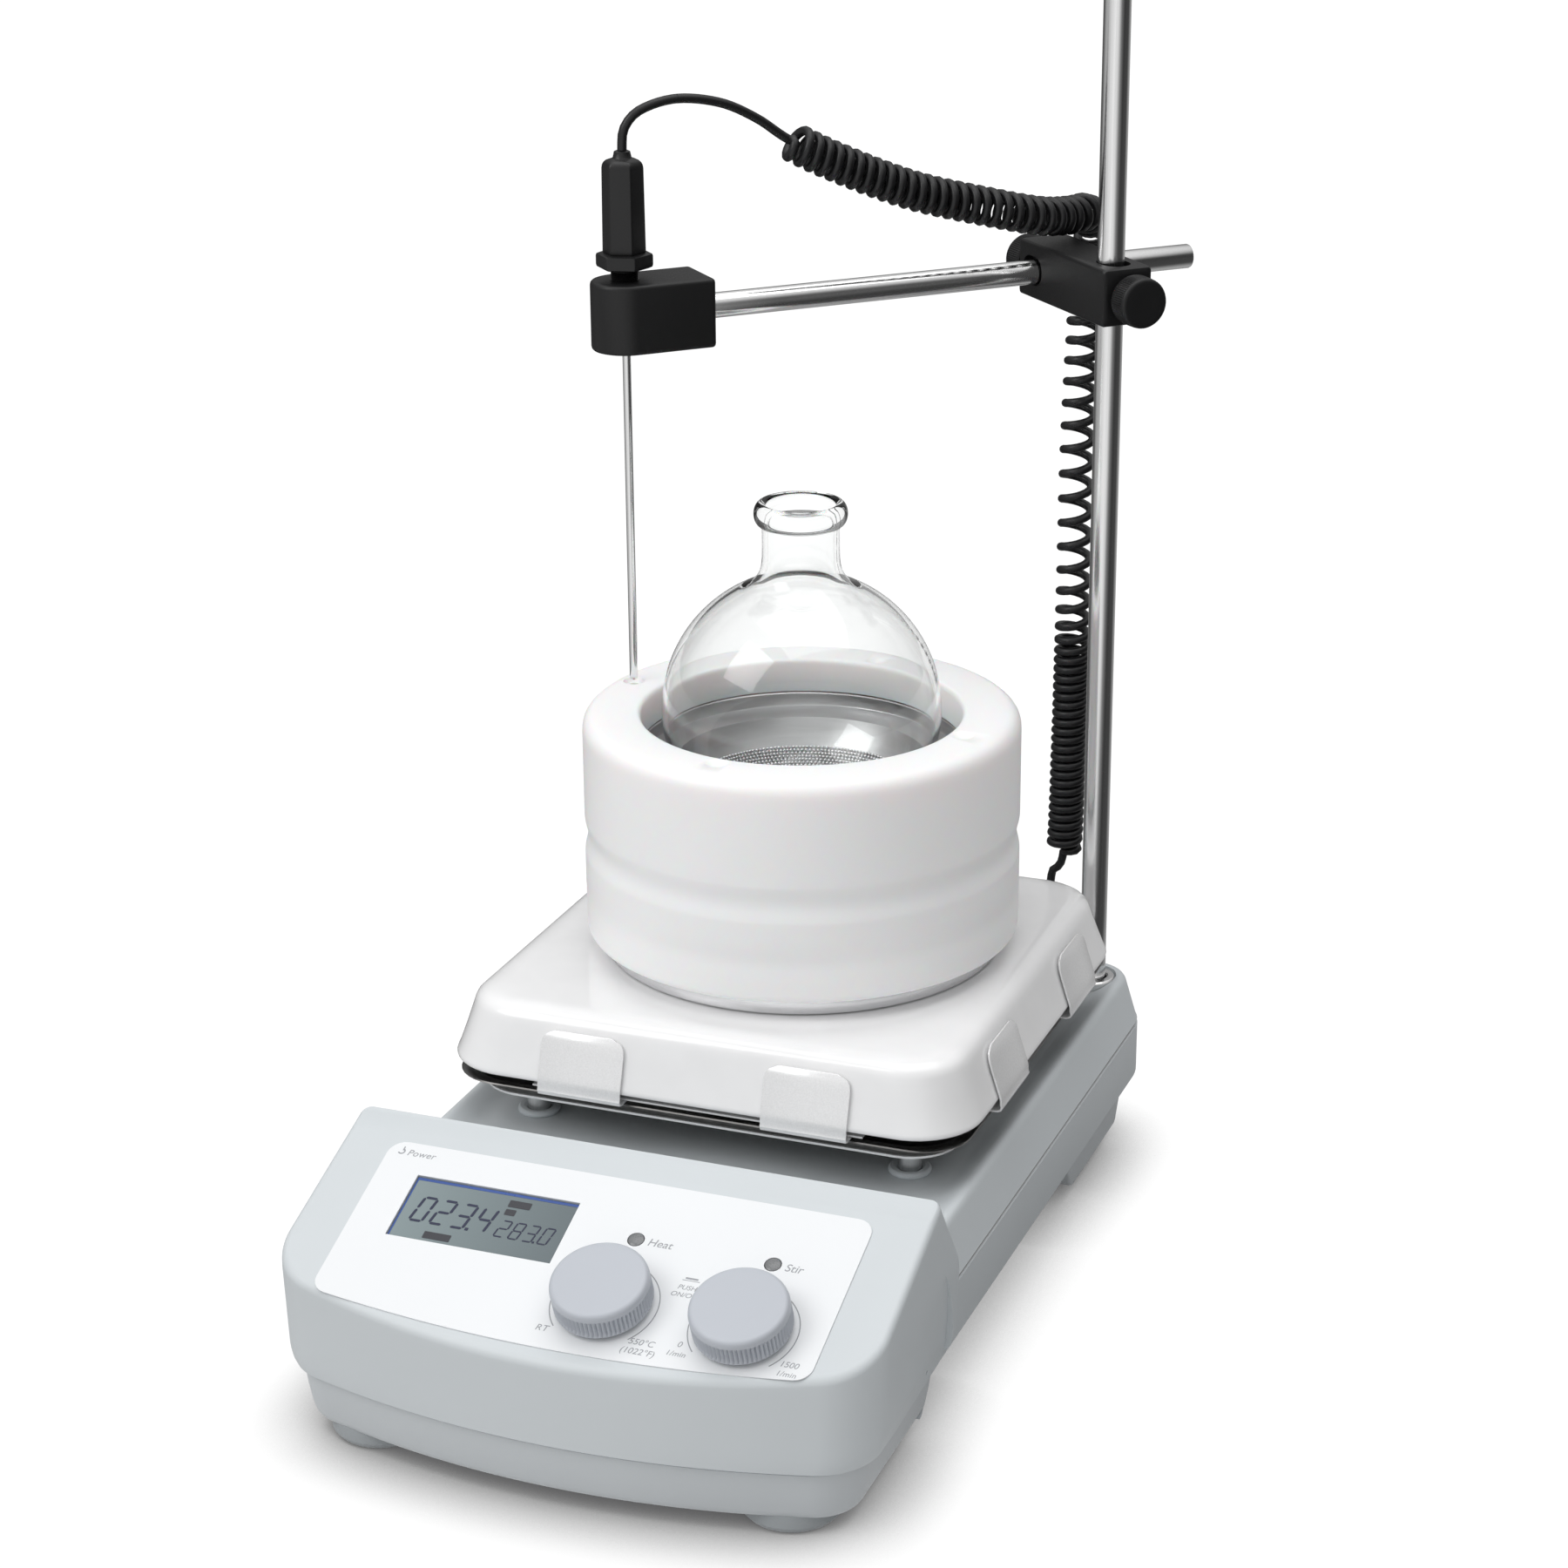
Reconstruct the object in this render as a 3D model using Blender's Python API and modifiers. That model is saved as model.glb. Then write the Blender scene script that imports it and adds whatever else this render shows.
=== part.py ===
"""Heating magnetic stirrer with a flask carrier, a support rod and a temperature probe.

Sizes are in millimetres and become metres as each mesh is made. +Z is up and +Y points to the back.
Most places are measured from the middle of the housing, which an empty sets into the part's frame.
"""

import bmesh
import bpy
from math import acos, cos, degrees, pi, radians, sin, tan
from mathutils import Matrix, Vector

MM = 0.001
GAP = 0.3  # left between pieces that touch

# ---- driving dimensions ---------------------------------------------------------------------
HOUSING_SHIFT = -21.0  # the housing's middle along Y, so that the whole part is centred
WALL = 2.5

SEAM_Z = 25.0  # between the upper and lower housings
FRONT_Y = -181.0
REAR_Y = 172.0

CONSOLE_HALF = 107.0
CONSOLE_TOP_HALF = 105.5
CONSOLE_SEAM_HALF = 103.0
CONSOLE_SIDE_FRONT_Y = -165.0  # where the bowed front meets the sides
BOW_R = 330.0
BOW_CREST = 12.0  # from the bow to the point where its two flat halves would cross
CONSOLE_BACK_Y = -93.0
FIN_Y = -76.0  # the console's side walls end here, beside the deck

DECK_HALF = 103.0
RIDGE_HALF = 98.0
RIDGE_Z = 67.0
DECK_Z = 62.5
DECK_FLAT_HALF = 87.0
FLANGE_Z = 48.0

PANEL_TILT = 21.2  # degrees, towards the user
PANEL_Y = -138.8
PANEL_Z = 72.65  # top of the label at its middle
LABEL_THICK = 0.4
LABEL_HALF = (87.5, 34.0)
LABEL_BOW = 6.6  # how far the label's lower edge bows out at its middle
LABEL_CORNER_R = 6.0
LCD_CENTRE = (-42.4, 7.0)
LCD_HALF = (30.0, 13.6)
KNOB_SPOTS = {"heat": (12.0, -18.5), "stir": (60.2, -18.6)}
LED_SPOTS = {"heat": (12.0, 9.5), "stir": (60.2, 9.2)}
KNOB_R = 16.5
KNOB_TALL = 10.4
KNOB_LIFT = 1.5  # under the skirt, for the push travel
SHAFT_R = 3.0
LED_R = 2.7

REAR_HOLES = {  # (x, z) and half sizes of the openings in the rear wall
    "inlet": ((-62.0, 38.0), (14.0, 9.7)),
    "switch": ((-25.0, 38.0), (11.0, 7.0)),
    "socket": ((62.0, 38.0), (7.6, 7.6)),
}

PLATE_Y = 45.0  # middle of the hot plate
PLATE_TOP_Z = 112.0
PLATE_TOP_HALF = 92.0
RIM_Z = 87.5
RIM_HALF = 98.5
PLATE_THICK = 5.0
RIM_WALL = 4.0

SHIELD_Z = 75.5
SHIELD_HALF = 88.0
POST_SPOT = 71.0  # posts stand this far from the plate's middle along X and Y
POST_R = 4.25

CARRIER = (3.0, 49.0)  # middle of the flask carrier
CARRIER_R = 79.2
CARRIER_BASE_R = 73.0
CARRIER_FLOOR_Z = 118.0
CARRIER_TOP_Z = 200.5
GROOVE_Z = 155.5  # middle of the groove round the jacket
GROOVE_DEEP = 2.0
POCKET_MOUTH_R = 58.0
FLASK_Z = 200.5  # middle of the flask's ball
FLASK_R = 50.5
FLASK_WALL = 1.8
FLASK_TOP_Z = 278.0
CORE_TOP_Z = 187.0
CORE_R = 66.0
POCKET_R = FLASK_R + 1.5
PROBE_HOLE_DEEP = 65.0

ROD = (85.0, 152.0)
ROD_R = 5.0
BUSH_R = 9.0
ROD_BOTTOM_Z = 52.0
ROD_TOP_Z = 500.0
ARM_Z = 338.0
ARM_R = 4.6
ARM_TURN = -45.0  # the clamp's long side, seen from above
ARM_OFFSET = 40.0  # between the rod's and the arm's axes
CLAMP_HALF = (10.0, 10.5)  # across the arm's way, and up
CLAMP_END = 13.0
REACH = 174.0  # from the clamp to the probe along the arm
ARM_TAIL = 56.0  # the arm's length behind the clamp
HOLDER_LONG = 30.0
HOLDER_HALF = 12.5
PROBE_R = 1.5
PROBE_TIP_Z = CARRIER_TOP_Z + 0.6
CORD_R = 1.7
COIL_R = 7.4

HINGE_RUN = 0.4  # clearance of a sliding rod in its bore

# ---- materials ------------------------------------------------------------------------------
LOOKS = {
    "shell_grey": ((0.66, 0.69, 0.71), 0.45, 0.0),
    "base_grey": ((0.38, 0.41, 0.43), 0.5, 0.0),
    "label_white": ((0.82, 0.84, 0.86), 0.35, 0.0),
    "lcd_glass": ((0.36, 0.41, 0.40), 0.15, 0.0),
    "lamp_grey": ((0.22, 0.23, 0.24), 0.3, 0.0),
    "knob_grey": ((0.50, 0.52, 0.58), 0.45, 0.0),
    "black_plastic": ((0.02, 0.02, 0.02), 0.45, 0.0),
    "board_green": ((0.05, 0.22, 0.12), 0.5, 0.0),
    "ceramic_white": ((0.86, 0.86, 0.87), 0.12, 0.0),
    "ptfe_white": ((0.84, 0.84, 0.85), 0.5, 0.0),
    "steel": ((0.62, 0.62, 0.62), 0.28, 1.0),
    "dark_steel": ((0.12, 0.12, 0.12), 0.4, 1.0),
    "aluminium": ((0.55, 0.55, 0.56), 0.3, 1.0),
    "magnet": ((0.25, 0.25, 0.26), 0.35, 1.0),
    "glass": ((0.92, 0.95, 0.96), 0.03, 0.0),
    "rubber": ((0.06, 0.06, 0.065), 0.8, 0.0),
}


def make_material(name):
    """A Principled material from the table of looks."""
    colour, roughness, metallic = LOOKS[name]
    material = bpy.data.materials.get(name) or bpy.data.materials.new(name)
    material.use_nodes = True
    shader = material.node_tree.nodes["Principled BSDF"]
    shader.inputs["Base Color"].default_value = (*colour, 1.0)
    shader.inputs["Roughness"].default_value = roughness
    shader.inputs["Metallic"].default_value = metallic
    return material


# ---- scene ----------------------------------------------------------------------------------
for old in list(bpy.data.objects):
    bpy.data.objects.remove(old, do_unlink=True)

PARTS = bpy.data.collections.new("magnetic_stirrer")
CUTTERS = bpy.data.collections.new("cutters")
bpy.context.scene.collection.children.link(PARTS)
bpy.context.scene.collection.children.link(CUTTERS)


def add_frame(name, spot=(0, 0, 0), turn=(0, 0, 0), parent=None):
    """An empty that other pieces are placed by."""
    frame = bpy.data.objects.new(name, None)
    PARTS.objects.link(frame)
    frame.location = Vector(spot) * MM
    frame.rotation_euler = [radians(a) for a in turn]
    frame.parent = parent
    return frame


housing_frame = add_frame("housing_frame", (0, HOUSING_SHIFT, 0))
panel_frame = add_frame(
    "panel_frame", (0, PANEL_Y, PANEL_Z), (PANEL_TILT, 0, 0), housing_frame
)
plate_frame = add_frame("plate_frame", (0, PLATE_Y, 0), parent=housing_frame)
carrier_frame = add_frame("carrier_frame", (*CARRIER, 0), parent=housing_frame)
rod_frame = add_frame("rod_frame", (*ROD, 0), parent=housing_frame)
clamp_frame = add_frame("clamp_frame", (0, 0, ARM_Z), (0, 0, ARM_TURN), rod_frame)
arm_frame = add_frame("arm_frame", (-ARM_OFFSET, 0, 0), parent=clamp_frame)
probe_frame = add_frame("probe_frame", (0, -REACH, 0), parent=arm_frame)
probe_plan_frame = add_frame("probe_plan_frame", (0, 0, -ARM_Z), parent=probe_frame)


def finish(thing, look, parent, smooth=35):
    """Give an object its material, its parent and its shading."""
    thing.parent = parent
    if look is None:
        CUTTERS.objects.link(thing)
        thing.hide_render = True
        thing.display_type = "WIRE"
        return thing
    PARTS.objects.link(thing)
    thing.data.materials.append(make_material(look))
    thing.data.shade_smooth()
    thing.data.set_sharp_from_angle(angle=radians(smooth))
    return thing


# ---- outlines -------------------------------------------------------------------------------
def rounded(corners, steps=4):
    """An outline from (x, y, radius) corners, each rounded by an arc where its radius isn't 0."""
    points = []
    for n, (x, y, radius) in enumerate(corners):
        here = Vector((x, y))
        back = (Vector(corners[n - 1][:2]) - here).normalized()
        ahead = (Vector(corners[(n + 1) % len(corners)][:2]) - here).normalized()
        if radius == 0:
            points.append((x, y))
            continue
        half = acos(max(-1, min(1, back.dot(ahead)))) / 2
        middle = here + (back + ahead).normalized() * (radius / sin(half))
        first = here + back * (radius / tan(half)) - middle
        last = here + ahead * (radius / tan(half)) - middle
        sweep = first.angle_signed(last)
        for k in range(steps + 1):
            turned_by = Matrix.Rotation(-sweep * k / steps, 2)
            points.append(tuple(middle + turned_by @ first))
    return points


def rectangle(half_x, half_y, radius=0.0, steps=4, middle=(0, 0)):
    """A rectangle's outline, anticlockwise, with round corners."""
    signs = ((-1, -1), (1, -1), (1, 1), (-1, 1))
    return rounded(
        [(middle[0] + a * half_x, middle[1] + b * half_y, radius) for a, b in signs],
        steps,
    )


def inset(corners, distance):
    """The outline's corners moved in by a distance on every side, for an anticlockwise outline."""
    moved = []
    for n, (x, y, radius) in enumerate(corners):
        here = Vector((x, y))
        arriving = (here - Vector(corners[n - 1][:2])).normalized()
        leaving = (Vector(corners[(n + 1) % len(corners)][:2]) - here).normalized()
        normal_in = Vector((-arriving.y, arriving.x))
        normal_out = Vector((-leaving.y, leaving.x))
        middle = (normal_in + normal_out).normalized()
        shift = middle * (distance / max(0.2, middle.dot(normal_in)))
        moved.append((x + shift.x, y + shift.y, max(0.0, radius - distance)))
    return moved


AXES = {  # how an outline's x and y and its extrusion lie in space
    "Z": Matrix(((1, 0, 0), (0, 1, 0), (0, 0, 1))),
    "X": Matrix(((0, 0, 1), (1, 0, 0), (0, 1, 0))),
    "Y": Matrix(((1, 0, 0), (0, 0, -1), (0, 1, 0))),
}


def prism(name, outline, low, high, axis="Z", look=None, parent=None, spot=(0, 0, 0)):
    """A flat outline pulled from low to high along an axis, as a closed mesh."""
    curve = bpy.data.curves.new(name, "CURVE")
    curve.dimensions = "2D"
    curve.fill_mode = "BOTH"
    curve.extrude = (high - low) / 2 * MM
    spline = curve.splines.new("POLY")
    spline.points.add(len(outline) - 1)
    for point, (x, y) in zip(spline.points, outline):
        point.co = (x * MM, y * MM, 0, 1)
    spline.use_cyclic_u = True
    flat = bpy.data.objects.new(name + "_outline", curve)
    CUTTERS.objects.link(flat)
    graph = bpy.context.evaluated_depsgraph_get()
    mesh = bpy.data.meshes.new_from_object(flat.evaluated_get(graph))
    bpy.data.objects.remove(flat, do_unlink=True)
    turn = AXES[axis].to_4x4()
    away = -1 if axis == "Y" else 1
    lift = Matrix.Translation((0, 0, away * (low + high) / 2 * MM))
    mesh.transform(turn @ lift)
    clean(mesh)
    mesh.name = name
    thing = bpy.data.objects.new(name, mesh)
    thing.location = Vector(spot) * MM
    return finish(thing, look, parent)


def clean(mesh):
    """Weld a mesh's loose caps and turn its faces outwards."""
    shape = bmesh.new()
    shape.from_mesh(mesh)
    bmesh.ops.remove_doubles(shape, verts=shape.verts, dist=1e-6)
    bmesh.ops.recalc_face_normals(shape, faces=shape.faces)
    shape.to_mesh(mesh)
    shape.free()


def block(name, low, high, look=None, parent=None, bevel=0.0, segments=2):
    """A box between two corners, with its edges rounded."""
    shape = bmesh.new()
    bmesh.ops.create_cube(shape, size=1.0)
    size = [(b - a) * MM for a, b in zip(low, high)]
    bmesh.ops.scale(shape, vec=size, verts=shape.verts)
    middle = [(a + b) / 2 * MM for a, b in zip(low, high)]
    bmesh.ops.translate(shape, vec=middle, verts=shape.verts)
    mesh = bpy.data.meshes.new(name)
    shape.to_mesh(mesh)
    shape.free()
    thing = finish(bpy.data.objects.new(name, mesh), look, parent)
    if bevel:
        round_edges(thing, bevel, segments)
    return thing


def cylinder(name, radius, low, high, look=None, parent=None, spot=(0, 0), sides=24,
             axis="Z", top_radius=None):
    """A round or many-sided bar from low to high along an axis of its parent."""
    shape = bmesh.new()
    bmesh.ops.create_cone(
        shape, cap_ends=True, segments=sides, radius1=radius * MM,
        radius2=(top_radius or radius) * MM, depth=(high - low) * MM,
    )
    bmesh.ops.translate(shape, vec=(0, 0, (low + high) / 2 * MM), verts=shape.verts)
    turn = {"Z": Matrix(), "X": Matrix.Rotation(pi / 2, 4, "Y"),
            "Y": Matrix.Rotation(-pi / 2, 4, "X")}[axis]
    bmesh.ops.transform(shape, matrix=turn, verts=shape.verts)
    place = {"Z": (spot[0], spot[1], 0), "X": (0, spot[0], spot[1]),
             "Y": (spot[0], 0, spot[1])}[axis]
    bmesh.ops.translate(shape, vec=Vector(place) * MM, verts=shape.verts)
    mesh = bpy.data.meshes.new(name)
    shape.to_mesh(mesh)
    shape.free()
    return finish(bpy.data.objects.new(name, mesh), look, parent)


def turned(name, profile, look=None, parent=None, spot=(0, 0, 0), steps=32, ring=False):
    """A profile of (radius, height) points, top to bottom on its outer side, turned about Z."""
    mesh = bpy.data.meshes.new(name)
    shape = bmesh.new()
    corners = [shape.verts.new((r * MM, 0, z * MM)) for r, z in profile]
    pairs = list(zip(corners, corners[1:]))
    if ring:
        pairs.append((corners[-1], corners[0]))
    for pair in pairs:
        shape.edges.new(pair)
    shape.to_mesh(mesh)
    shape.free()
    thing = finish(bpy.data.objects.new(name, mesh), look, parent)
    thing.location = Vector(spot) * MM
    screw = thing.modifiers.new("turn", "SCREW")
    screw.steps = steps
    screw.render_steps = steps
    screw.use_merge_vertices = True
    screw.merge_threshold = 1e-6
    screw.use_smooth_shade = True
    return thing


def loft(name, rings, look=None, parent=None, spot=(0, 0, 0)):
    """A closed skin through outlines of equal count, each (outline, height), capped at both ends."""
    shape = bmesh.new()
    loops = [
        [shape.verts.new((x * MM, y * MM, z * MM)) for x, y in outline]
        for outline, z in rings
    ]
    count = len(loops[0])
    for lower, upper in zip(loops, loops[1:]):
        for k in range(count):
            n = (k + 1) % count
            shape.faces.new((lower[k], lower[n], upper[n], upper[k]))
    shape.faces.new(loops[0])
    shape.faces.new(loops[-1])
    bmesh.ops.recalc_face_normals(shape, faces=shape.faces)
    mesh = bpy.data.meshes.new(name)
    shape.to_mesh(mesh)
    shape.free()
    thing = finish(bpy.data.objects.new(name, mesh), look, parent)
    thing.location = Vector(spot) * MM
    return thing


def tube(name, route, radius, look, parent, resolution=2):
    """A round bar along a list of points, with filled ends."""
    curve = bpy.data.curves.new(name, "CURVE")
    curve.dimensions = "3D"
    curve.bevel_depth = radius * MM
    curve.bevel_resolution = resolution
    curve.use_fill_caps = True
    spline = curve.splines.new("POLY")
    spline.points.add(len(route) - 1)
    for point, place in zip(spline.points, route):
        point.co = (*(Vector(place) * MM), 1)
    thing = bpy.data.objects.new(name, curve)
    thing.parent = parent
    PARTS.objects.link(thing)
    curve.materials.append(make_material(look))
    return thing


def round_edges(thing, width, segments=2, angle=40):
    """Round the edges that are sharper than an angle."""
    bevel = thing.modifiers.new("round_edges", "BEVEL")
    bevel.width = width * MM
    bevel.segments = segments
    bevel.limit_method = "ANGLE"
    bevel.angle_limit = radians(angle)


def combine(thing, other, operation="DIFFERENCE"):
    """Cut, join or intersect one solid with another."""
    boolean = thing.modifiers.new(operation.lower() + "_" + other.name, "BOOLEAN")
    boolean.operation = operation
    boolean.object = other
    boolean.solver = "EXACT"
    return thing


# ---- housing --------------------------------------------------------------------------------
def panel_height(y):
    """How high the panel's plastic face is at a place along Y."""
    slope = tan(radians(PANEL_TILT))
    return PANEL_Z - LABEL_THICK / cos(radians(PANEL_TILT)) + (y - PANEL_Y) * slope


def console(name, wall=0.0):
    """The sloping front of the upper housing, or the hollow in it where a wall is given."""
    bottom = SEAM_Z - 20 if wall else SEAM_Z
    bow = FRONT_Y - BOW_CREST  # where the two halves of the bowed front would cross
    plan = [
        (-CONSOLE_HALF, CONSOLE_SIDE_FRONT_Y, 22), (0, bow, BOW_R),
        (CONSOLE_HALF, CONSOLE_SIDE_FRONT_Y, 22), (CONSOLE_HALF, FIN_Y, 0),
        (-CONSOLE_HALF, FIN_Y, 0),
    ]
    edge = FRONT_Y - 6
    side = [
        (edge, bottom, 0), (FIN_Y - 8, bottom, 0), (FIN_Y, 38, 10), (FIN_Y, 62, 8),
        (CONSOLE_BACK_Y, panel_height(CONSOLE_BACK_Y), 5), (edge, panel_height(edge), 0),
    ]
    front = [
        (-CONSOLE_SEAM_HALF, bottom, 0), (CONSOLE_SEAM_HALF, bottom, 0),
        (CONSOLE_HALF, 60, 0), (CONSOLE_TOP_HALF, 96, 0), (-CONSOLE_TOP_HALF, 96, 0),
        (-CONSOLE_HALF, 60, 0),
    ]
    body = prism(name, rounded(inset(plan, wall), 6), bottom, 100, "Z", None, housing_frame)
    width = prism(name + "_side", rounded(inset(side, wall), 3), -120, 120, "X",
                  None, housing_frame)
    face = prism(name + "_front", rounded(inset(front, wall)), -200, 0, "Y",
                 None, housing_frame)
    combine(body, width, "INTERSECT")
    combine(body, face, "INTERSECT")
    return body


def deck(name, wall=0.0):
    """The low rear of the upper housing, or the hollow in it where a wall is given."""
    bottom = SEAM_Z - 20 if wall else SEAM_Z
    front = -115.0 + (10 if wall else 0)
    plan = [
        (-DECK_HALF, front, 0), (DECK_HALF, front, 0), (DECK_HALF, REAR_Y, 20),
        (-DECK_HALF, REAR_Y, 20),
    ]
    side = [
        (front - 2, bottom, 0), (REAR_Y, bottom, 0), (REAR_Y, FLANGE_Z, 0),
        (REAR_Y - 7, RIDGE_Z, 3), (front - 2, RIDGE_Z, 0),
    ]
    across = [
        (-DECK_HALF, bottom, 0), (DECK_HALF, bottom, 0), (DECK_HALF, FLANGE_Z, 0),
        (RIDGE_HALF, RIDGE_Z, 3), (DECK_FLAT_HALF, DECK_Z, 5), (-DECK_FLAT_HALF, DECK_Z, 5),
        (-RIDGE_HALF, RIDGE_Z, 3), (-DECK_HALF, FLANGE_Z, 0),
    ]
    body = prism(name, rounded(inset(plan, wall), 5), bottom, 90, "Z", None, housing_frame)
    width = prism(name + "_side", rounded(inset(side, wall), 2), -120, 120, "X",
                  None, housing_frame)
    face = prism(name + "_across", rounded(inset(across, wall), 2), -200, 200, "Y",
                 None, housing_frame)
    combine(body, width, "INTERSECT")
    combine(body, face, "INTERSECT")
    return body


def make_upper_housing():
    """The shell over everything: the console at the front and the deck behind it."""
    shell = prism("upper_housing", rectangle(1, 1), 40, 42, "Z", "shell_grey", housing_frame)
    combine(shell, console("console_outside"), "UNION")
    combine(shell, deck("deck_outside"), "UNION")
    combine(shell, console("console_inside", WALL))
    combine(shell, deck("deck_inside", WALL))
    window = prism("lcd_hole", rectangle(LCD_HALF[0] + 0.5, LCD_HALF[1] + 0.5, middle=LCD_CENTRE),
                   -8, 4, "Z", None, panel_frame)
    combine(shell, window)
    for spot in KNOB_SPOTS.values():
        combine(shell, cylinder("shaft_hole", SHAFT_R + 1.2, -8, 4, None, panel_frame, spot, 16))
    for spot in LED_SPOTS.values():
        combine(shell, cylinder("lamp_hole", LED_R + GAP, -8, 4, None, panel_frame, spot, 16))
    combine(shell, cylinder("motor_hole", 7, 50, 75, None, plate_frame, sides=16))
    combine(shell, cylinder("rod_hole", BUSH_R + GAP, 50, 80, None, rod_frame, sides=24))
    for name, (spot, half) in REAR_HOLES.items():
        low = (spot[0] - half[0], REAR_Y - 9, spot[1] - half[1])
        high = (spot[0] + half[0], REAR_Y + 9, spot[1] + half[1])
        combine(shell, block(name + "_hole", low, high, None, housing_frame))


def make_lower_housing():
    """The tray that closes the underside, with a thick block over each pair of feet."""
    top = SEAM_Z - GAP
    front_half, rear_half = 101.0, 97.0
    raised = 21.5
    front_plan = rounded([
        (-front_half, CONSOLE_SIDE_FRONT_Y + 1, 20), (0, FRONT_Y - BOW_CREST + 1.5, BOW_R - 25),
        (front_half, CONSOLE_SIDE_FRONT_Y + 1, 20), (front_half, -94, 3), (-front_half, -94, 3),
    ], 6)
    across = [(-98.5, 8), (98.5, 8), (front_half, top), (-front_half, top)]
    tray = prism("lower_housing", front_plan, 2, top + 10, "Z", "base_grey", housing_frame)
    combine(tray, prism("tray_front", across, -200, 0, "Y", None, housing_frame), "INTERSECT")
    rear_side = [
        (-110, raised), (80, raised), (88, 6), (148, 6), (157, raised - 1),
        (REAR_Y - WALL - 2, raised - 0.6), (REAR_Y - WALL - 2, top - 0.5), (-110, top - 0.5),
    ]
    rear = prism("tray_rear", rear_side, -rear_half, rear_half, "X", None, housing_frame)
    combine(tray, rear, "UNION")
    hollow = [
        (-150, 10.5), (-99, 10.5), (-98, raised + 1.5), (83, raised + 1.5), (90, 8.5),
        (146, 8.5), (155, raised + 1.2), (162, raised + 1.4), (162, top + 5), (-150, top + 5),
    ]
    cut = prism("tray_hollow", hollow, -92, 92, "X", None, housing_frame)
    combine(tray, cut)


def make_feet():
    """Four rubber feet under the tray."""
    spots = {
        "front_left": (-74, -150, 8), "front_right": (74, -150, 8),
        "rear_left": (-78, 118, 6), "rear_right": (78, 118, 6),
    }
    for name, (x, y, top) in spots.items():
        radius = 17.0 if top == 8 else 14.0
        profile = [(0, top - GAP), (radius, top - GAP), (radius, 2.0), (radius - 2, 0), (0, 0)]
        turned("foot_" + name, profile, "rubber", housing_frame, (x, y, 0), 24)


# ---- control panel --------------------------------------------------------------------------
def make_label():
    """The thin white label on the console, bowed like the console's front, with its holes."""
    half_u, half_v = LABEL_HALF
    bowed = [
        (half_u * k / 8, -half_v - LABEL_BOW * (1 - (k / 8) ** 2), 0) for k in range(-7, 8)
    ]
    outline = rounded([
        (-half_u, -half_v, LABEL_CORNER_R), *bowed, (half_u, -half_v, LABEL_CORNER_R),
        (half_u, half_v, LABEL_CORNER_R), (-half_u, half_v, LABEL_CORNER_R),
    ], 5)
    sheet = prism("control_panel_label", outline, -LABEL_THICK + 0.05, 0, "Z", "label_white",
                  panel_frame)
    window = prism("label_window", rectangle(*LCD_HALF, middle=LCD_CENTRE), -2, 2, "Z",
                   None, panel_frame)
    combine(sheet, window)
    for spot in KNOB_SPOTS.values():
        combine(sheet, cylinder("label_shaft", SHAFT_R + 1.2, -2, 2, None, panel_frame, spot, 16))
    for spot in LED_SPOTS.values():
        combine(sheet, cylinder("label_lamp", LED_R + GAP, -2, 2, None, panel_frame, spot, 16))


def panel_box(name, middle, half, low, high, look):
    """A box in the panel's frame, from low to high along the panel's normal."""
    corner_a = (middle[0] - half[0], middle[1] - half[1], low)
    corner_b = (middle[0] + half[0], middle[1] + half[1], high)
    return block(name, corner_a, corner_b, look, panel_frame)


def make_display():
    """The display's clear window, its module and the board that carries the controls."""
    window_half = (LCD_HALF[0] - GAP, LCD_HALF[1] - GAP)
    panel_box("lcd_window", LCD_CENTRE, window_half, -2.0, -0.7, "lcd_glass")
    panel_box("lcd_module", LCD_CENTRE, (34.0, 17.0), -12.0, -4.0, "black_plastic")
    panel_box("control_pcb", (-1.0, -4.0), (91.0, 24.0), -14.2, -12.6, "board_green")


def make_lamp(kind):
    """An indicator lamp standing in its hole from the board."""
    spot = LED_SPOTS[kind]
    profile = [(0, 0.5), (1.6, 0.3), (LED_R, -0.7), (LED_R, -12.2), (0, -12.2)]
    turned(kind + "_lamp", profile, "lamp_grey", panel_frame, (*spot, 0), 16)


def make_knob(kind):
    """A ribbed knob, the shaft that it turns on and the encoder that the shaft presses into."""
    spot = KNOB_SPOTS[kind]
    top = KNOB_LIFT + KNOB_TALL
    ribs = 30
    outline = []
    for k in range(ribs * 2):
        reach = KNOB_R - (0.5 if k % 2 else 0.0)
        angle = pi * k / ribs
        outline.append((reach * cos(angle), reach * sin(angle)))
    circle = [((KNOB_R - 0.7) * cos(pi * k / ribs), (KNOB_R - 0.7) * sin(pi * k / ribs))
              for k in range(ribs * 2)]
    cap = [(0.9 * x, 0.9 * y) for x, y in circle]
    rings = [(outline, KNOB_LIFT), (outline, top - 2.0), (circle, top - 1.6), (cap, top)]
    knob = loft(kind + "_knob", rings, "knob_grey", panel_frame, (*spot, 0))
    bore = cylinder(kind + "_knob_bore", SHAFT_R + GAP, -4, top - 3, None, panel_frame, spot, 16)
    combine(knob, bore)
    hollow = cylinder(kind + "_knob_hollow", KNOB_R - 4, -4, KNOB_LIFT + 3.5, None, panel_frame,
                      spot, 24)
    combine(knob, hollow)
    cylinder(kind + "_shaft", SHAFT_R, -6.0, top - 4.5, "steel", panel_frame, spot, 16)
    encoder = block(kind + "_encoder", (spot[0] - 6, spot[1] - 6, -12.2),
                    (spot[0] + 6, spot[1] + 6, -5.0), "black_plastic", panel_frame)
    well = cylinder(kind + "_encoder_well", SHAFT_R + GAP, -8.5, 0, None, panel_frame, spot, 16)
    combine(encoder, well)


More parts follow.
